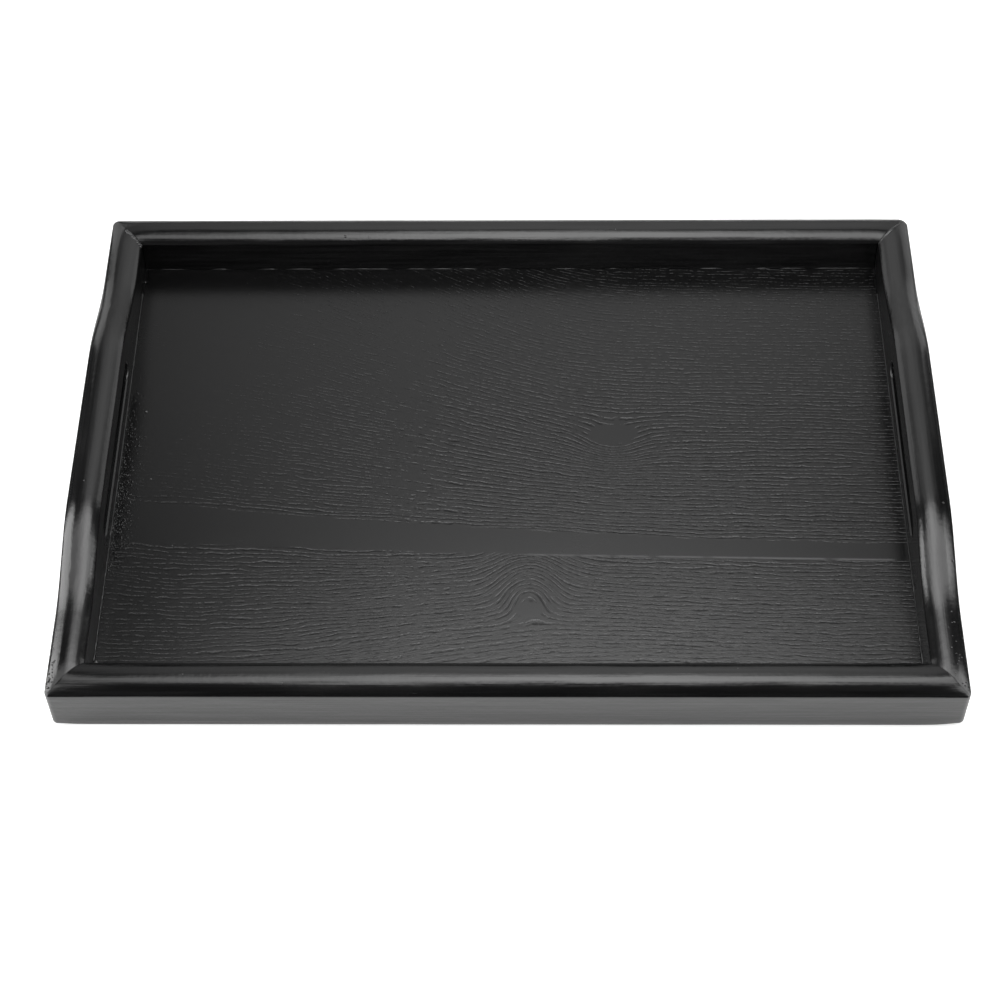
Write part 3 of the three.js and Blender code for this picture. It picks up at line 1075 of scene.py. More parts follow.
@dataclass
class Rail:
    """A painted rail: a blank with mitred ends, rounded and sanded corners, and a hand slot if it has one.

    Each range is where something starts across the rail and over how much it grows: the gap in the mitre, and
    the crown's crisp side of the hip at a mitre.
    """

    side: RailSide
    tray: TraySizes
    lift: float = 0.0
    grip: float = 80.0
    ramp: float = 56.0
    slot: HandSlot | None = None
    section: RailSection = field(default_factory=RailSection)
    meets: tuple[RailSection, RailSection] = (RailSection(), RailSection())
    end_zone: float = 18.5
    end_steps: int = 30
    step: float = 2.4
    mitre_gap: float = 0.05
    least_gap: float = 0.08
    gap_range: Place = (5.0, 4.0)
    soft_hip: float = 3.0
    crisp_range: Place = (4.5, 3.0)
    foot_reach: float = 6.0
    wave: float = 0.035
    flat: float = 0.16
    seed: float = 0.0

    @property
    def half(self) -> float:
        """Half the rail's length on its outer face."""
        return (self.tray.length if self.side.value[0] % 2 == 0 else self.tray.width) / 2

    def level_stations(self) -> np.ndarray:
        """The places along the rail between its two end zones."""
        last = self.half - self.end_zone
        if self.slot is None:
            return np.linspace(-last, last, round(2 * last / self.step) + 1)
        mouth = self.slot.stations()
        count = round((last - mouth[-1]) / self.step)
        rest = np.linspace(mouth[-1], last, count + 1)[1:]
        return np.concatenate([-rest[::-1], mouth, rest])

    def end_path(self, across: np.ndarray, corner: Corner) -> tuple[np.ndarray, np.ndarray]:
        """The way of each row through an end zone, round the corner and up to the mitre.

        Args:
            across: each row's distance from the outer face.
            corner: the tray's corner at that end.

        Returns:
            The distance from the end and the distance across, by step and row.
        """
        share = np.linspace(0.0, 1.0, self.end_steps + 1)[1:, None]
        radius = np.maximum(corner.radius - across, TINY)[None, :]
        level = self.end_zone - np.maximum(corner.radius, across)[None, :]
        bend = np.where(across < corner.radius, radius * math.pi / 4, 0.0)
        way = share * (level + bend)
        turn = np.clip((way - level) / radius, 0.0, math.pi / 4)
        bending = (way > level) & (across < corner.radius)[None, :]
        from_end = np.where(bending, corner.radius - radius * np.sin(turn), self.end_zone - way)
        moved = np.where(bending, corner.radius - radius * np.cos(turn), across[None, :])
        start, over = self.gap_range
        gap = self.mitre_gap * np.clip((across - start) / over, self.least_gap, 1.0)[None, :]
        return from_end + gap * share**3, moved

    def grid(self, rows: list[Row]) -> tuple[np.ndarray, np.ndarray, np.ndarray]:
        """The places of all rows at all stations, seen from above, for an upright section.

        Args:
            rows: the section's rows.

        Returns:
            The place along, the place across, and each point's share of the way through its end zone.
        """
        across = np.array([row.across for row in rows])
        low_end, low_across = self.end_path(across, self.side.corners(self.tray)[0])
        high_end, high_across = self.end_path(across, self.side.corners(self.tray)[1])
        level = np.repeat(self.level_stations()[:, None], len(rows), axis=1)
        along = np.concatenate([low_end[::-1] - self.half, level, self.half - high_end])
        flat = np.repeat(across[None, :], len(level), axis=0)
        share = np.repeat(np.linspace(0.0, 1.0, self.end_steps + 1)[1:, None], len(rows), axis=1)
        ends = np.concatenate([share[::-1], np.zeros_like(level), share])
        return along, np.concatenate([low_across[::-1], flat, high_across]), ends

    def raised(self, along: np.ndarray) -> np.ndarray:
        """How far the S-curve raises the crown at places along the rail."""
        past = np.clip((np.abs(along) - self.grip / 2) / self.ramp, 0.0, 1.0)
        return self.lift * (1 + np.cos(math.pi * past)) / 2

    def opening(self, along: np.ndarray) -> np.ndarray:
        """Half the height of the slot's mouth at places along the rail, zero where there is none."""
        return self.slot.half_opening(along) if self.slot else np.zeros_like(along)

    def corner_values(self, name: str, along: np.ndarray) -> np.ndarray:
        """One of the corners' sizes at places along the rail, by the end that each is nearer to."""
        return np.array([getattr(corner, name) for corner in self.side.corners(self.tray)])[(along > 0) * 1]

    def crown_at(self, read_at: float, along: np.ndarray, across: np.ndarray) -> np.ndarray:
        """How far the crown stands above the shoulder, soft along the mitres and sanded down at the corners.

        Args:
            read_at: where across the plain section the crown is read.
            along: the places along the upright rail.
            across: the places across it.

        Returns:
            The crown's heights.
        """
        from_end = self.half - np.abs(along)
        reach, side_reach = self.corner_values("reach", along), self.corner_values("side_reach", along)
        if self.slot:
            reach, side_reach = side_reach, reach
        spread = (from_end / reach) ** 2 + (across / side_reach) ** 2
        sanded = 1.0 - self.corner_values("loss", along) * np.exp(-spread / 2)
        near = np.minimum(across, from_end) / np.maximum(np.maximum(across, from_end), TINY)
        hip = (1.0 + near**self.soft_hip) ** (-1.0 / self.soft_hip)
        start, over = self.crisp_range
        crisp = np.clip((read_at - start) / over, 0.0, 1.0)
        return self.section.crown(read_at * (hip + (1.0 - hip) * crisp)) * sanded

    def heights(self, rows: list[Row], along: np.ndarray, across: np.ndarray,
                ends: np.ndarray) -> tuple[np.ndarray, np.ndarray]:
        """The heights of all rows before the rail is raised.

        Args:
            rows: the section's rows.
            along: place along, by station and row.
            across: place across, by station and row.
            ends: each point's share of the way through its end zone.

        Returns:
            The heights, and each point's share of the raise.
        """
        height, share = np.zeros_like(along), np.zeros_like(along)
        opening, section = self.opening(along), self.section
        middle = section.wall_middle
        from_corner = across**2 + (self.half - np.abs(along)) ** 2
        worn = self.corner_values("worn_foot", along) * np.exp(-from_corner / (2 * self.foot_reach**2))
        tip = section.tip(across) * (1.0 - ends)
        for index, row in enumerate(rows):
            if row.kind is RowKind.FIXED:
                height[:, index] = row.height
                if row.height <= section.foot_ease:
                    height[:, index] += worn[:, index]
            elif row.kind is RowKind.BELOW_SLOT:
                height[:, index] = row.height + (middle - opening[:, index] - row.height) * row.share
            elif row.kind is RowKind.ABOVE_SLOT:
                low = middle + opening[:, index]
                top = section.shoulder - section.shoulder_ease
                height[:, index] = low + (top + tip[:, index] - low) * row.share
                share[:, index] = row.share
            else:
                crown = self.crown_at(row.read_at, along[:, index], across[:, index])
                height[:, index] = section.shoulder + tip[:, index] + crown * row.share - row.drop
                share[:, index] = 1.0
        return height, share

    def leaned(self, along: np.ndarray, across: np.ndarray, ends: np.ndarray, height: np.ndarray,
               share: np.ndarray) -> tuple[np.ndarray, np.ndarray]:
        """Leans an upright rail in, and its ends with the rails that they meet.

        Args:
            along: place along, by station and row.
            across: place across, by station and row.
            ends: each point's share of the way through its end zone.
            height: the heights before the rail is raised.
            share: each point's share of the raise.

        Returns:
            The new places along and across.
        """
        raised = self.raised(along)
        level = np.minimum(height + raised * share, self.section.shoulder + raised)
        low, high = (section.shift(level, across) for section in self.meets)
        return along + np.where(along > 0, -high, low) * ends, across + self.section.shift(level, across)

    @staticmethod
    def mouths(rows: list[Row]) -> list[tuple[int, int]]:
        """The rows along the lower and upper edge of the slot's mouth, on the inner and the outer face."""
        edges = ((RowKind.BELOW_SLOT, 1.0), (RowKind.ABOVE_SLOT, 0.0))
        lower, upper = ([i for i, row in enumerate(rows) if (row.kind, row.share) == edge] for edge in edges)
        return list(zip(lower, upper))

    @staticmethod
    def skin(number: np.ndarray, mouths: list[tuple[int, int]]) -> list[list[int]]:
        """The faces round the rail and over its ends, but not across the slot's mouths.

        Args:
            number: the points' numbers, by station and row.
            mouths: the rows along each mouth's lower and upper edge.

        Returns:
            Point numbers of each face.
        """
        count = number.shape[1]
        apart = [set(pair) for pair in mouths]
        kept = [row for row in range(count) if {row, (row + 1) % count} not in apart]
        beside = np.roll(number, -1, axis=1)
        sides = np.stack([number[:-1], beside[:-1], beside[1:], number[1:]], axis=-1)[:, kept]
        ends = [list(dict.fromkeys(number[station].tolist())) for station in (0, -1)]
        return sides.reshape(-1, 4).tolist() + ends

    def build(self, name: str, finish: Finish) -> bpy.types.Object:
        """Makes the rail and paints it.

        Args:
            name: the piece's name.
            finish: the rail's finish.

        Returns:
            The finished piece.
        """
        rows = self.section.rows()
        along, across, ends = self.grid(rows)
        height, share = self.heights(rows, along, across, ends)
        along, across = self.leaned(along, across, ends, height, share)
        mouths, opening = self.mouths(rows), self.opening(along[:, 0])
        number = np.arange(along.size).reshape(along.shape)
        for low, high in mouths:
            number[opening == 0.0, high] = number[opening == 0.0, low]
        faces = self.skin(number, mouths)
        x, y = self.side.place(self.tray, along, across)
        points = np.stack([x, y, height], axis=-1).reshape(-1, 3)
        numbers = {"along": along.ravel() * MM, "rise_share": share.ravel(), "across": across.ravel() * MM}
        if self.slot:
            places = np.flatnonzero(opening > 0.0)
            span = np.arange(places[0] - 1, places[-1] + 2)
            inner, outer = (self.mouth_ring(number, span, low, high) for low, high in mouths)
            inside, inside_along, rings = self.tunnel(along[span, 0], len(points))
            points = np.concatenate([points, inside])
            plain = np.zeros(len(inside))
            for key, more in zip(numbers, (inside_along * MM, plain, plain)):
                numbers[key] = np.concatenate([numbers[key], more])
            rings = [outer, *rings, inner]
            for near, far in zip(rings, rings[1:]):
                faces += ring_faces(near, far)
        used = np.unique(np.concatenate([np.asarray(face) for face in faces]))
        fresh = np.full(len(points), -1)
        fresh[used] = np.arange(len(used))
        piece = new_piece(name, points[used], [fresh[face].tolist() for face in faces])
        face_outwards(piece)
        for key, kept in numbers.items():
            keep_numbers(piece, key, kept[used])
        sizes = {
            "Lift": self.lift * MM, "Grip": self.grip * MM, "Ramp": self.ramp * MM,
            "Wave Height": self.wave * MM, "Flat Depth": self.flat * MM, "Seed": self.seed,
        }
        RailShaping().run(piece, finish, sizes)
        shade_smooth(piece)
        return piece

    def on_crown(self, along: float, across: float) -> tuple[Point, Point]:
        """A place on the crown.

        Args:
            along: distance from the rail's middle.
            across: distance from the rail's outer face.

        Returns:
            The place, and the way that the crown faces there.
        """
        section, spot = self.section, np.float64(along)
        lift = float(self.raised(spot))
        slope = float(self.raised(spot + 0.5) - self.raised(spot - 0.5))
        upright = across - float(section.shift(section.shoulder + lift, across))
        tilt = math.asin((upright - section.thickness / 2) / section.radius)
        tilt += math.atan2(section.lean, section.shoulder)
        here = Vector((*self.side.place(self.tray, along, across), 0.0))
        ahead = Vector((*self.side.place(self.tray, along + 1, across), 0.0)) - here
        inwards = Vector((*self.side.place(self.tray, along, across + 1), 0.0)) - here
        facing = Vector((0, 0, math.cos(tilt))) + inwards * math.sin(tilt) - ahead * slope * math.cos(tilt)
        crown = self.crown_at(upright, spot, upright) + section.tip(upright)
        here.z = section.shoulder + float(crown) + lift
        return tuple(here), tuple(facing.normalized())

    @staticmethod
    def mouth_ring(number: np.ndarray, span: np.ndarray, low: int, high: int) -> list[int]:
        """The points round the slot's mouth on one face, along the lower edge and back by the upper one."""
        return number[span, low].tolist() + number[span[1:-1], high].tolist()[::-1]

    def tunnel(self, along: np.ndarray, first: int) -> tuple[np.ndarray, np.ndarray, list[list[int]]]:
        """The points of the slot's inside, between its two mouths.

        Args:
            along: the stations of the mouth's points.
            first: the number of the first new point.

        Returns:
            The points, their places along the rail, and each ring's point numbers.
        """
        slot = self.slot
        centre = np.clip(along, -slot.straight, slot.straight)
        lean = np.clip((along - centre) / slot.mouth, -1.0, 1.0)
        drop = np.sqrt(1.0 - lean**2)
        centres = np.concatenate([centre, centre[-2:0:-1]])
        leans = np.concatenate([lean, lean[-2:0:-1]])
        drops = np.concatenate([-drop, drop[-2:0:-1]])
        points, places, rings = [], [], []
        for depth, flare in slot.depths(self.section.thickness)[1:-1]:
            radius = slot.height / 2 + flare
            place, height = centres + radius * leans, slot.middle + radius * drops
            x, y = self.side.place(self.tray, place, depth + self.section.shift(height, depth))
            points.append(np.stack([x, y, height], axis=-1))
            places.append(place)
            start = first + len(place) * len(rings)
            rings.append(list(range(start, start + len(place))))
        return np.concatenate(points), np.concatenate(places), rings


@dataclass
class BasePanel:
    """The base panel's grained face."""

    tray: TraySizes
    thickness: float = 0.6
    step: float = 2.4
    wave: float = 0.02
    wave_top: float = 1.6

    def build(self, name: str, finish: Finish) -> bpy.types.Object:
        """Makes the face veneer with a surface that is not quite flat.

        Args:
            name: the piece's name.
            finish: the veneer's finish.

        Returns:
            The finished piece.
        """
        tray = self.tray
        halves = (tray.length / 2 - tray.base_edge, tray.width / 2 - tray.base_edge)
        lines = [np.linspace(-half, half, round(2 * half / self.step) + 1) for half in halves]
        x, y = np.meshgrid(*lines, indexing="ij")
        wave = np.sin(x / 37.0 + 0.7) * np.sin(y / 23.0 + 1.9) + 0.6 * np.sin(x / 17.0 + y / 29.0)
        z = tray.base_top - self.wave * (self.wave_top + wave)
        top = np.stack([x, y, z], axis=-1).reshape(-1, 3)
        number = np.arange(len(top)).reshape(x.shape)
        ring = np.concatenate([number[:-1, 0], number[-1, :-1], number[:0:-1, -1], number[0, :0:-1]]).tolist()
        under = top[ring].copy()
        under[:, 2] = tray.base_top - self.thickness
        below = list(range(len(top), len(top) + len(ring)))
        faces = grid_faces(number) + ring_faces(below, ring) + [below[::-1]]
        piece = new_piece(name, np.concatenate([top, under]), faces)
        face_outwards(piece)
        piece.data.materials.append(finish.material())
        shade_smooth(piece)
        return piece


@dataclass(frozen=True)
class PaintMark:
    """A lump in the paint: where it sits, which way it faces, how wide it is and how drawn out."""

    place: Point
    facing: Point
    girth: float
    stretch: float = 1.0


def set_marks(name: str, marks: list[PaintMark], finish: Finish, sizes: dict[str, float]) -> bpy.types.Object:
    """Makes one piece of many lumps of paint.

    Args:
        name: the piece's name.
        marks: the lumps.
        finish: the paint.
        sizes: numbers for the rule that sets them.

    Returns:
        The finished piece.
    """
    piece = new_piece(name, np.array([mark.place for mark in marks]), [])
    keep_numbers(piece, "facing", np.array([mark.facing for mark in marks]), Numbers.FLOAT_VECTOR)
    keep_numbers(piece, "girth", np.array([mark.girth for mark in marks]) * MM)
    keep_numbers(piece, "stretch", np.array([mark.stretch for mark in marks]))
    GrainsOnPoints().run(piece, finish, sizes)
    return piece


@dataclass
class PaintDetails:
    """What the paint left behind: beads in the seams, a ridge on a mitre, nibs, crumbs and bubbles.

    The mitre ends are how far from the outer corner the paint on a mitre starts and stops.
    """

    tray: TraySizes
    rails: dict[RailSide, Rail]
    bead_points: int = 180
    bead_dashes: int = 60
    bead_lift: float = 0.02
    ridge_points: int = 16
    ridge_ends: Place = (5.5, 16.6)
    ridge_sink: float = 0.05
    crumb_ends: Place = (9.5, 16.6)
    crumb_count: int = 32
    rough_length: float = 30.0
    nib_flat: float = 0.62
    nib_sink: float = 0.05
    bubble_sink: float = 0.06
    spot_girth: float = 1.5
    spot_sink: float = 0.03

    def seam_bead(self, finish: Finish) -> bpy.types.Object:
        """The bead where the base meets the rails: thin in front, lumpy at the sides and in dashes behind."""
        half_x, half_y = self.tray.length / 2 - self.tray.seam, self.tray.width / 2 - self.tray.seam
        ring = (SQUARE[:, :2] * (half_x, half_y)).tolist()
        girths = ((0.6, 0.3), (1.2, 0.3), (1.15, 1.0), (1.5, 0.3))
        chance = np.random.default_rng(9)
        steps = np.linspace(0.0, 1.0, self.bead_points)
        knots = np.linspace(0.0, 1.0, self.bead_dashes)
        points, edges, girth = [], [], []
        for start, after, (size, broken) in zip(ring, ring[1:] + ring[:1], girths):
            line = np.array(start) * (1 - steps[:, None]) + np.array(after) * steps[:, None]
            edges += line_edges(len(line), len(points))
            points += [(x, y, self.tray.base_top + self.bead_lift) for x, y in line]
            dashes = np.interp(steps, knots, chance.uniform(0.0, 1.0, self.bead_dashes))
            girth += list(size * (1.0 - broken * (1.0 - np.clip(dashes * 4.0 - 1.6, 0.05, 1.0))))
        piece = new_piece("seam_paint_bead", np.array(points), [], edges)
        keep_numbers(piece, "girth", np.array(girth))
        sizes = {"Radius": 0.42 * MM, "Spacing": 1.0 * MM, "Uneven": 0.8, "Wander": 0.2 * MM, "Seed": 4.0}
        PaintBead().run(piece, finish, sizes)
        return piece

    def mitre_ridge(self, finish: Finish) -> bpy.types.Object:
        """The smooth ridge of paint that closes the mitre at the back right."""
        rail = self.rails[RailSide.RIGHT]
        across = np.linspace(*self.ridge_ends, self.ridge_points)
        points = np.array([rail.on_crown(rail.half - u, u)[0] for u in across]) - (0, 0, self.ridge_sink)
        piece = new_piece("mitre_paint_ridge", points, [], line_edges(len(across)))
        keep_numbers(piece, "girth", 0.25 + 0.95 * np.sin(np.linspace(0.15, 2.9, len(across))))
        sizes = {"Radius": 0.55 * MM, "Spacing": 0.8 * MM, "Uneven": 0.25, "Wander": 0.2 * MM, "Seed": 8.0}
        PaintBead().run(piece, finish, sizes)
        return piece

    def crown_marks(self) -> list[PaintMark]:
        """The nibs on the crowns of the rails: the rail, the place along and across it, and the girth."""
        places = [
            (RailSide.BACK, 81.5, 13.2, 0.75), (RailSide.LEFT, 32.4, 8.9, 0.55),
            (RailSide.RIGHT, -44.2, 5.5, 0.60), (RailSide.RIGHT, -70.0, 2.8, 0.70),
            (RailSide.RIGHT, -94.3, 5.8, 0.40), (RailSide.RIGHT, -112.4, 7.9, 0.45),
            (RailSide.FRONT, 21.0, 6.0, 0.30), (RailSide.FRONT, -96.0, 5.2, 0.35),
        ]
        marks = []
        for side, along, across, girth in places:
            (x, y, z), facing = self.rails[side].on_crown(along, across)
            marks.append(PaintMark((x, y, min(z, self.tray.height - girth * 0.75)), facing, girth))
        return marks

    def base_marks(self) -> list[PaintMark]:
        """The nibs on the base: the place and the girth."""
        places = [
            (-174.7, 30.1, 0.95), (-183.0, -107.3, 1.25), (-168.3, -9.1, 0.55), (-154.8, -46.0, 0.50),
            (-183.6, 110.7, 0.70), (-18.7, 35.3, 0.45), (179.4, -103.0, 0.60), (-178.0, -20.0, 0.60),
            (61.0, 96.0, 0.35), (-96.0, 71.0, 0.35), (118.0, 12.0, 0.35),
        ]
        z = self.tray.base_top - self.nib_sink
        return [PaintMark((x, y, z), (0.0, 0.0, 1.0), girth) for x, y, girth in places]

    def nibs(self, finish: Finish) -> bpy.types.Object:
        """All nibs as one piece."""
        sizes = {"Flat": self.nib_flat, "Lumpy": 0.16 * MM, "Seed": 2.0}
        return set_marks("paint_nibs", self.crown_marks() + self.base_marks(), finish, sizes)

    def crumbs(self, finish: Finish) -> bpy.types.Object:
        """Crumbs of paint along the mitre at the back left, and rough paint at both front corners."""
        chance = np.random.default_rng(5)
        left, right = self.rails[RailSide.LEFT], self.rails[RailSide.RIGHT]
        marks = []
        for across in np.linspace(*self.crumb_ends, self.crumb_count):
            place, facing = left.on_crown(-(left.half - across) + abs(chance.normal(0.0, 0.6)), across)
            marks.append(PaintMark(place, facing, chance.uniform(0.3, 0.9), chance.uniform(0.8, 1.7)))
        for rail, way, widest, largest, count in ((left, 1, 3.2, 0.42, 60), (right, -1, 7.5, 0.30, 36)):
            for _ in range(count):
                across = 1.5 + widest * chance.uniform(0.0, 1.0) ** 2
                along = way * (rail.half - across - 0.5 - self.rough_length * chance.uniform(0.0, 1.0) ** 1.4)
                place, facing = rail.on_crown(along, across)
                marks.append(PaintMark(place, facing, chance.uniform(0.1, largest), chance.uniform(0.8, 2.2)))
        return set_marks("mitre_paint_crumbs", marks, finish, {"Flat": 0.6, "Lumpy": 0.2 * MM, "Seed": 6.0})

    def bubbles(self, finish: Finish) -> bpy.types.Object:
        """Bubbled paint on the base along the left rail, thickest in the middle of its stretch."""
        x, y = np.meshgrid(np.linspace(-184.6, -172.0, 13), np.linspace(-62.0, 52.0, 40), indexing="ij")
        points = np.stack([x, y, np.full_like(x, self.tray.base_top - self.bubble_sink)], axis=-1)
        faces = grid_faces(np.arange(x.size).reshape(x.shape))
        piece = new_piece("bubbled_paint", points.reshape(-1, 3), faces)
        stretch = np.exp(-(((y + 30.0) / 30.0) ** 2)) + 0.25 * np.exp(-(((y - 25.0) / 22.0) ** 2))
        keep_numbers(piece, "thick", (stretch * np.exp(-(((x + 184.0) / 7.0) ** 2))).ravel())
        sizes = {
            "Density": 2.2e6, "Smallest": 0.16 * MM, "Largest": 0.65 * MM,
            "Flat": 0.55, "Lumpy": 0.05 * MM, "Seed": 3.0,
        }
        ScatteredGrains().run(piece, finish, sizes)
        return piece

    def filler_spots(self, finish: Finish, places: list[Point]) -> bpy.types.Object:
        """The paint over the filled brad holes, which shows each as a faint round."""
        marks = []
        for x, y, z in places:
            lean = float(self.rails[RailSide.LEFT].section.shift(z, 0.0))
            sunk = math.copysign(lean + self.spot_sink, x)
            marks.append(PaintMark((x - sunk, y, z), (math.copysign(1.0, x), 0.0, 0.0), self.spot_girth))
        return set_marks("filler_spots", marks, finish, {"Flat": 0.03, "Lumpy": 0.0, "Seed": 1.0})


@dataclass(frozen=True)
class SoftBox:
    """A soft light: a white panel that is full in its middle and fades out to its edges.

    The core gives the share of the half size that is full: sideways, upwards and downwards. The roll turns
    the panel in its own plane, in degrees. One for gloss only shows in reflections and lights nothing else.
    """

    name: str
    centre: Point
    facing: Point
    width: float
    height: float
    radiance: float
    core: Point
    roll: float = 0.0
    gloss_only: bool = False

    def build(self) -> bpy.types.Object:
        """Makes the panel, which lights the tray and shows in its gloss but not to the camera."""
        panel, wiring = new_panel(self.name, SQUARE / MM)
        panel.matrix_world = Matrix.Translation(self.centre) @ self.turn()
        x, y, _ = wiring.parts(wiring.node("ShaderNodeTexCoord").outputs["Object"])
        past = [
            ((place - core) / (1.0 - core)).work("MAXIMUM", 0.0)
            for place, core in zip((abs(x), y, y * -1.0), self.core)
        ]
        fade = squares(*past).work("SQRT").step(1.0, 0.0)
        away = wiring.value("ShaderNodeNewGeometry", output="Backfacing")
        clear = wiring.node("ShaderNodeBsdfTransparent").outputs[0]
        lit = wiring.node("ShaderNodeEmission", {"Strength": self.radiance}).outputs[0]
        both = wiring.node("ShaderNodeMixShader", {0: fade * (1.0 - away), 1: clear, 2: lit})
        wiring.node("ShaderNodeOutputMaterial", {"Surface": both.outputs[0]})
        panel.visible_camera = False
        panel.visible_shadow = False
        panel.visible_diffuse = not self.gloss_only
        return panel

    def turn(self) -> Matrix:
        """The panel's size and the way that it faces."""
        out = Vector(self.facing).normalized()
        guide = Vector((0, 1, 0)) if abs(out.z) > 0.7 else Vector((0, 0, 1))
        level, roll = guide.cross(out).normalized(), math.radians(self.roll)
        right = level * math.cos(roll) - out.cross(level) * math.sin(roll)
        columns = (right * self.width / 2, out.cross(right) * self.height / 2, out)
        return Matrix(columns).transposed().to_4x4()


@dataclass
class Studio:
    """A pale floor, soft boxes above and at both sides, a white card behind, and the camera."""

    image: float = 1001.0
    focal: float = 2021.9
    eye: Point = (8.364, -541.2, 795.16)
    down: float = 56.588
    yaw: float = 1.3045
    roll: float = -1.1072
    sensor: float = 36.0
    nearest: float = 0.01
    ambient: float = 0.06
    floor_reach: float = 2500.0
    floor_low: float = -0.4
    floor_colour: Colour = (0.86, 0.86, 0.86, 1.0)
    floor_fill: float = 0.70
    gloss_fill: float = 0.46
    pool_middle: Place = (0.0, -0.10)
    pool_size: Place = (0.42, 0.30)

    def boxes(self) -> list[SoftBox]:
        """The soft boxes."""
        down, up, ahead, right, left = (0, 0, -1), (0, 0, 1), (0, -1, 0), (1, 0, 0), (-1, 0, 0)
        scrim, card, flag = (0.37, -0.16), (0.80, 0.57, 0.90), (0.80, 0.70, 0.70)
        return [
            SoftBox("overhead_scrim", (0.01, -0.09, 0.514), down, 1.22, 0.38, 1.28, (0.86, *scrim)),
            SoftBox("overhead_soft_box", (0.05, 0.009, 0.500), down, 0.78, 0.578, 3.40, (0.06, 0.14, 0.24)),
            SoftBox("right_scrim", (0.45, -0.09, 0.510), down, 0.50, 0.38, 2.20, (0.50, *scrim)),
            SoftBox(
                "left_soft_box", (-0.577, -0.165, 0.21), right, 0.69, 0.82, 3.8, (0.72, 0.46, 0.27), 12.0,
            ),
            SoftBox("left_card", (-0.577, 0.78, 0.15), right, 0.80, 0.70, 0.95, card, gloss_only=True),
            SoftBox("right_card", (0.64, 0.78, 0.15), left, 0.80, 0.70, 0.95, card, gloss_only=True),
            SoftBox("right_soft_box", (0.64, -0.15, 0.30), left, 0.60, 0.90, 3.4, (0.33, 0.30, 0.20), -12.0),
            SoftBox("white_card", (0.06, 0.43, 0.40), ahead, 1.30, 1.30, 0.80, (0.05, 0.42, 0.0)),
            SoftBox("left_black_flag", (-0.47, 0.06, 0.0), up, 0.46, 0.60, 0.03, flag, gloss_only=True),
            SoftBox("right_black_flag", (0.47, 0.0, 0.0), up, 0.46, 0.48, 0.03, flag, gloss_only=True),
        ]

    def floor(self) -> bpy.types.Object:
        """The floor: white to the camera, with the tray's shadow, bright in gloss, clear from below."""
        floor, wiring = new_panel("floor", SQUARE * self.floor_reach + (0, 0, self.floor_low))
        x, y, _ = wiring.parts(wiring.node("ShaderNodeTexCoord").outputs["Object"])
        pool = mound(x, y, self.pool_middle, self.pool_size)
        gloss = wiring.value("ShaderNodeLightPath", output="Is Glossy Ray")
        fill = wiring.camera_rays() * self.floor_fill + gloss * pool * self.gloss_fill
        white = wiring.node("ShaderNodeBsdfDiffuse", {"Color": self.floor_colour}).outputs[0]
        lift = wiring.node("ShaderNodeEmission", {"Strength": fill}).outputs[0]
        both = wiring.node("ShaderNodeAddShader", {0: white, 1: lift}).outputs[0]
        below = wiring.value("ShaderNodeNewGeometry", output="Backfacing")
        clear = wiring.node("ShaderNodeBsdfTransparent").outputs[0]
        shown = wiring.node("ShaderNodeMixShader", {0: below, 1: both, 2: clear}).outputs[0]
        wiring.node("ShaderNodeOutputMaterial", {"Surface": shown})
        return floor

    def world(self) -> None:
        """A dim room that the camera sees as white."""
        world = bpy.data.worlds.new("studio")
        bpy.context.scene.world = world
        world.use_nodes = True
        world.node_tree.nodes.clear()
        wiring = Wiring(world.node_tree)
        strength = wiring.camera_rays() * (1.0 - self.ambient) + self.ambient
        room = wiring.node("ShaderNodeBackground", {"Strength": strength})
        wiring.node("ShaderNodeOutputWorld", {"Surface": room.outputs[0]})

    def camera(self) -> bpy.types.Object:
        """The camera at the photograph's viewing angle."""
        down, yaw, roll = (math.radians(angle) for angle in (self.down, self.yaw, self.roll))
        level_right = Vector((math.cos(yaw), math.sin(yaw), 0))
        ahead = Vector((-math.sin(yaw), math.cos(yaw), 0))
        forward = ahead * math.cos(down) - Vector((0, 0, math.sin(down)))
        level_up = ahead * math.sin(down) + Vector((0, 0, math.cos(down)))
        right = level_right * math.cos(roll) + level_up * math.sin(roll)
        up = level_up * math.cos(roll) - level_right * math.sin(roll)
        data = bpy.data.cameras.new("camera")
        data.sensor_width = self.sensor
        data.lens = self.sensor * self.focal / self.image
        data.clip_start = self.nearest
        camera = bpy.data.objects.new("camera", data)
        bpy.context.scene.collection.objects.link(camera)
        turn = Matrix((right, up, -forward)).transposed().to_4x4()
        camera.matrix_world = Matrix.Translation(Vector(self.eye) * MM) @ turn
        bpy.context.scene.camera = camera
        return camera

    def build(self) -> None:
        """Sets up the floor, the light and the camera."""
        self.floor()
        boxes = [box.build() for box in self.boxes()]
        self.world()
        self.camera()
        bpy.context.scene.view_settings.view_transform = "Standard"
        LOG.info("studio: floor, %d soft boxes, camera", len(boxes))


def new_rails(tray: TraySizes) -> dict[RailSide, Rail]:
    """The four rails by side, each with the sections that it meets at its low and high end."""
    slot, end, lift = HandSlot(), RailSection(), tray.grip_lift
    front, back = RailSection(lean=0.0, flare=1.1), RailSection(thickness=16.2, lean=0.4, flare=-0.3)
    rails = [
        Rail(RailSide.FRONT, tray, section=front, meets=(end, end), seed=1.0),
        Rail(RailSide.BACK, tray, section=back, meets=(end, end), seed=2.0),
        Rail(RailSide.LEFT, tray, lift, slot=slot, meets=(back, front), seed=3.0),
        Rail(RailSide.RIGHT, tray, lift, slot=slot, meets=(front, back), seed=4.0),
    ]
    return {rail.side: rail for rail in rails}


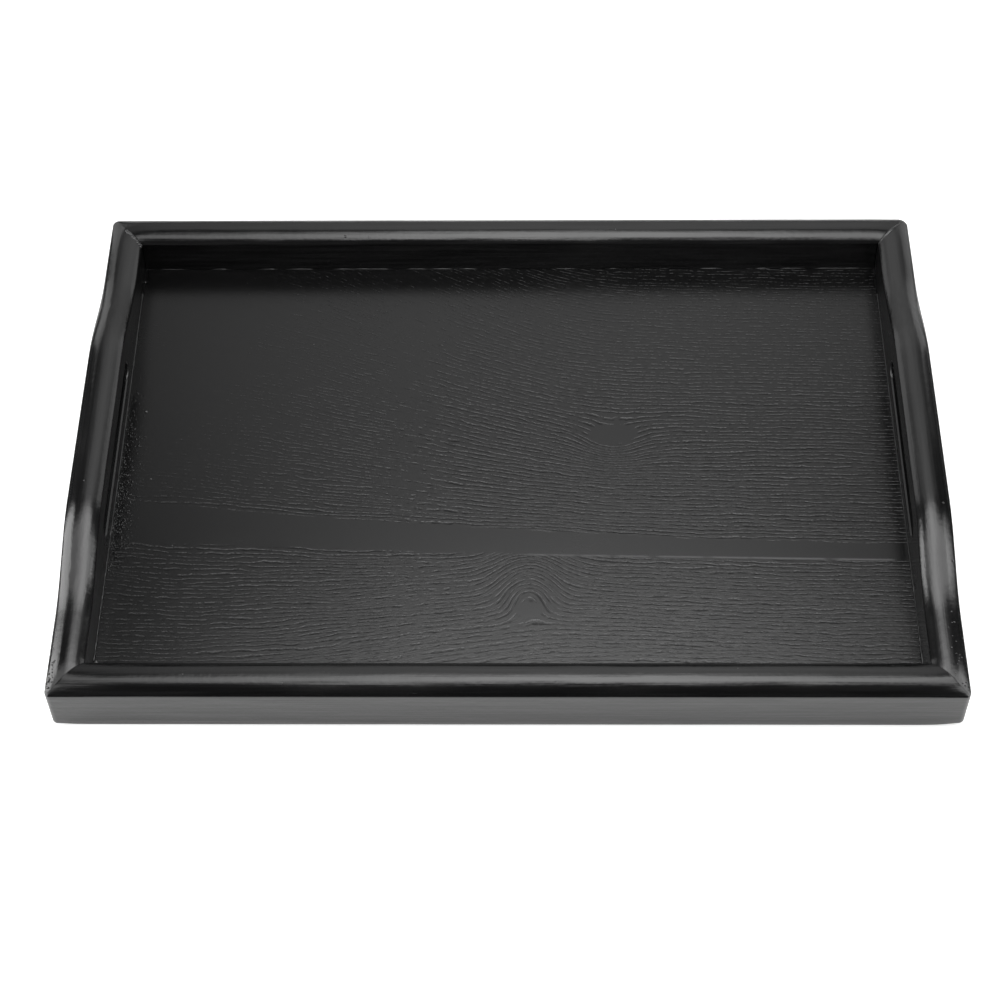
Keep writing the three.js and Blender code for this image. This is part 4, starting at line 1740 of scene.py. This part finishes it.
def main() -> None:
    """Builds the tray's pieces round the frame, then the studio."""
    logging.basicConfig(level=logging.INFO, format="%(name)s: %(message)s")
    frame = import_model()
    tray = TraySizes()
    long_paint = GlossPaint("rail_paint_lengthwise", roughness=0.17, ior=1.66)
    cross_paint = GlossPaint("rail_paint_crosswise", roughness=0.17, ior=1.66, axis=GrainAxis.CROSSWISE)
    # Paler paint for the small lumps: greyer partly from dust in it and partly as a painted glint.
    grey, pale = (0.02, 0.02, 0.02, 1.0), (0.06, 0.06, 0.06, 1.0)
    dusty_paint = GlossPaint("dusty_paint", roughness=0.25, ior=1.75, colour=grey, thin=pale)
    face = OpenPoreVeneer("base_face_paint", roughness=0.25, ior=1.62)
    back = OpenPoreVeneer("base_back_paint", roughness=0.42, ior=1.5, start=(0.031, 0.052, 0.0))
    core = BareCore("bare_core", roughness=0.85)
    wire = BrightWire("brad_wire", roughness=0.3)

    rails = new_rails(tray)
    for side, rail in rails.items():
        node = f"{side.name.lower()}_{'handle_rail' if rail.slot else 'rail'}"
        paint = cross_paint if rail.slot else long_paint
        hand_over(rail.build(f"{node}_painted", paint), "black_paint", node)

    hand_over(BasePanel(tray).build("base_face_grained", face), "black_veneer", "base_face_veneer")
    details = PaintDetails(tray, rails)
    for piece in (
        details.seam_bead(long_paint), details.mitre_ridge(dusty_paint), details.nibs(dusty_paint),
        details.crumbs(dusty_paint), details.bubbles(long_paint),
    ):
        hand_over(piece, "black_paint")
    fillers = [name for name in frame["nodes"] if name.endswith("_filler")]
    places = []
    for name in fillers:
        low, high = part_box(name)
        middle = (Vector(low) + Vector(high)) / 2 / MM
        places.append((math.copysign(tray.length / 2, middle.x), middle.y, middle.z))
    hand_over(details.filler_spots(cross_paint, places), "wood_filler", *fillers)

    finishes = {"base_back_veneer": back, "base_core": core}
    for name, node in frame["nodes"].items():
        finish = finishes.get(name, wire if name.endswith("_brad") else None)
        if finish:
            node.data.materials.clear()
            node.data.materials.append(finish.material())

    Studio().build()


if __name__ == "__main__":
    main()
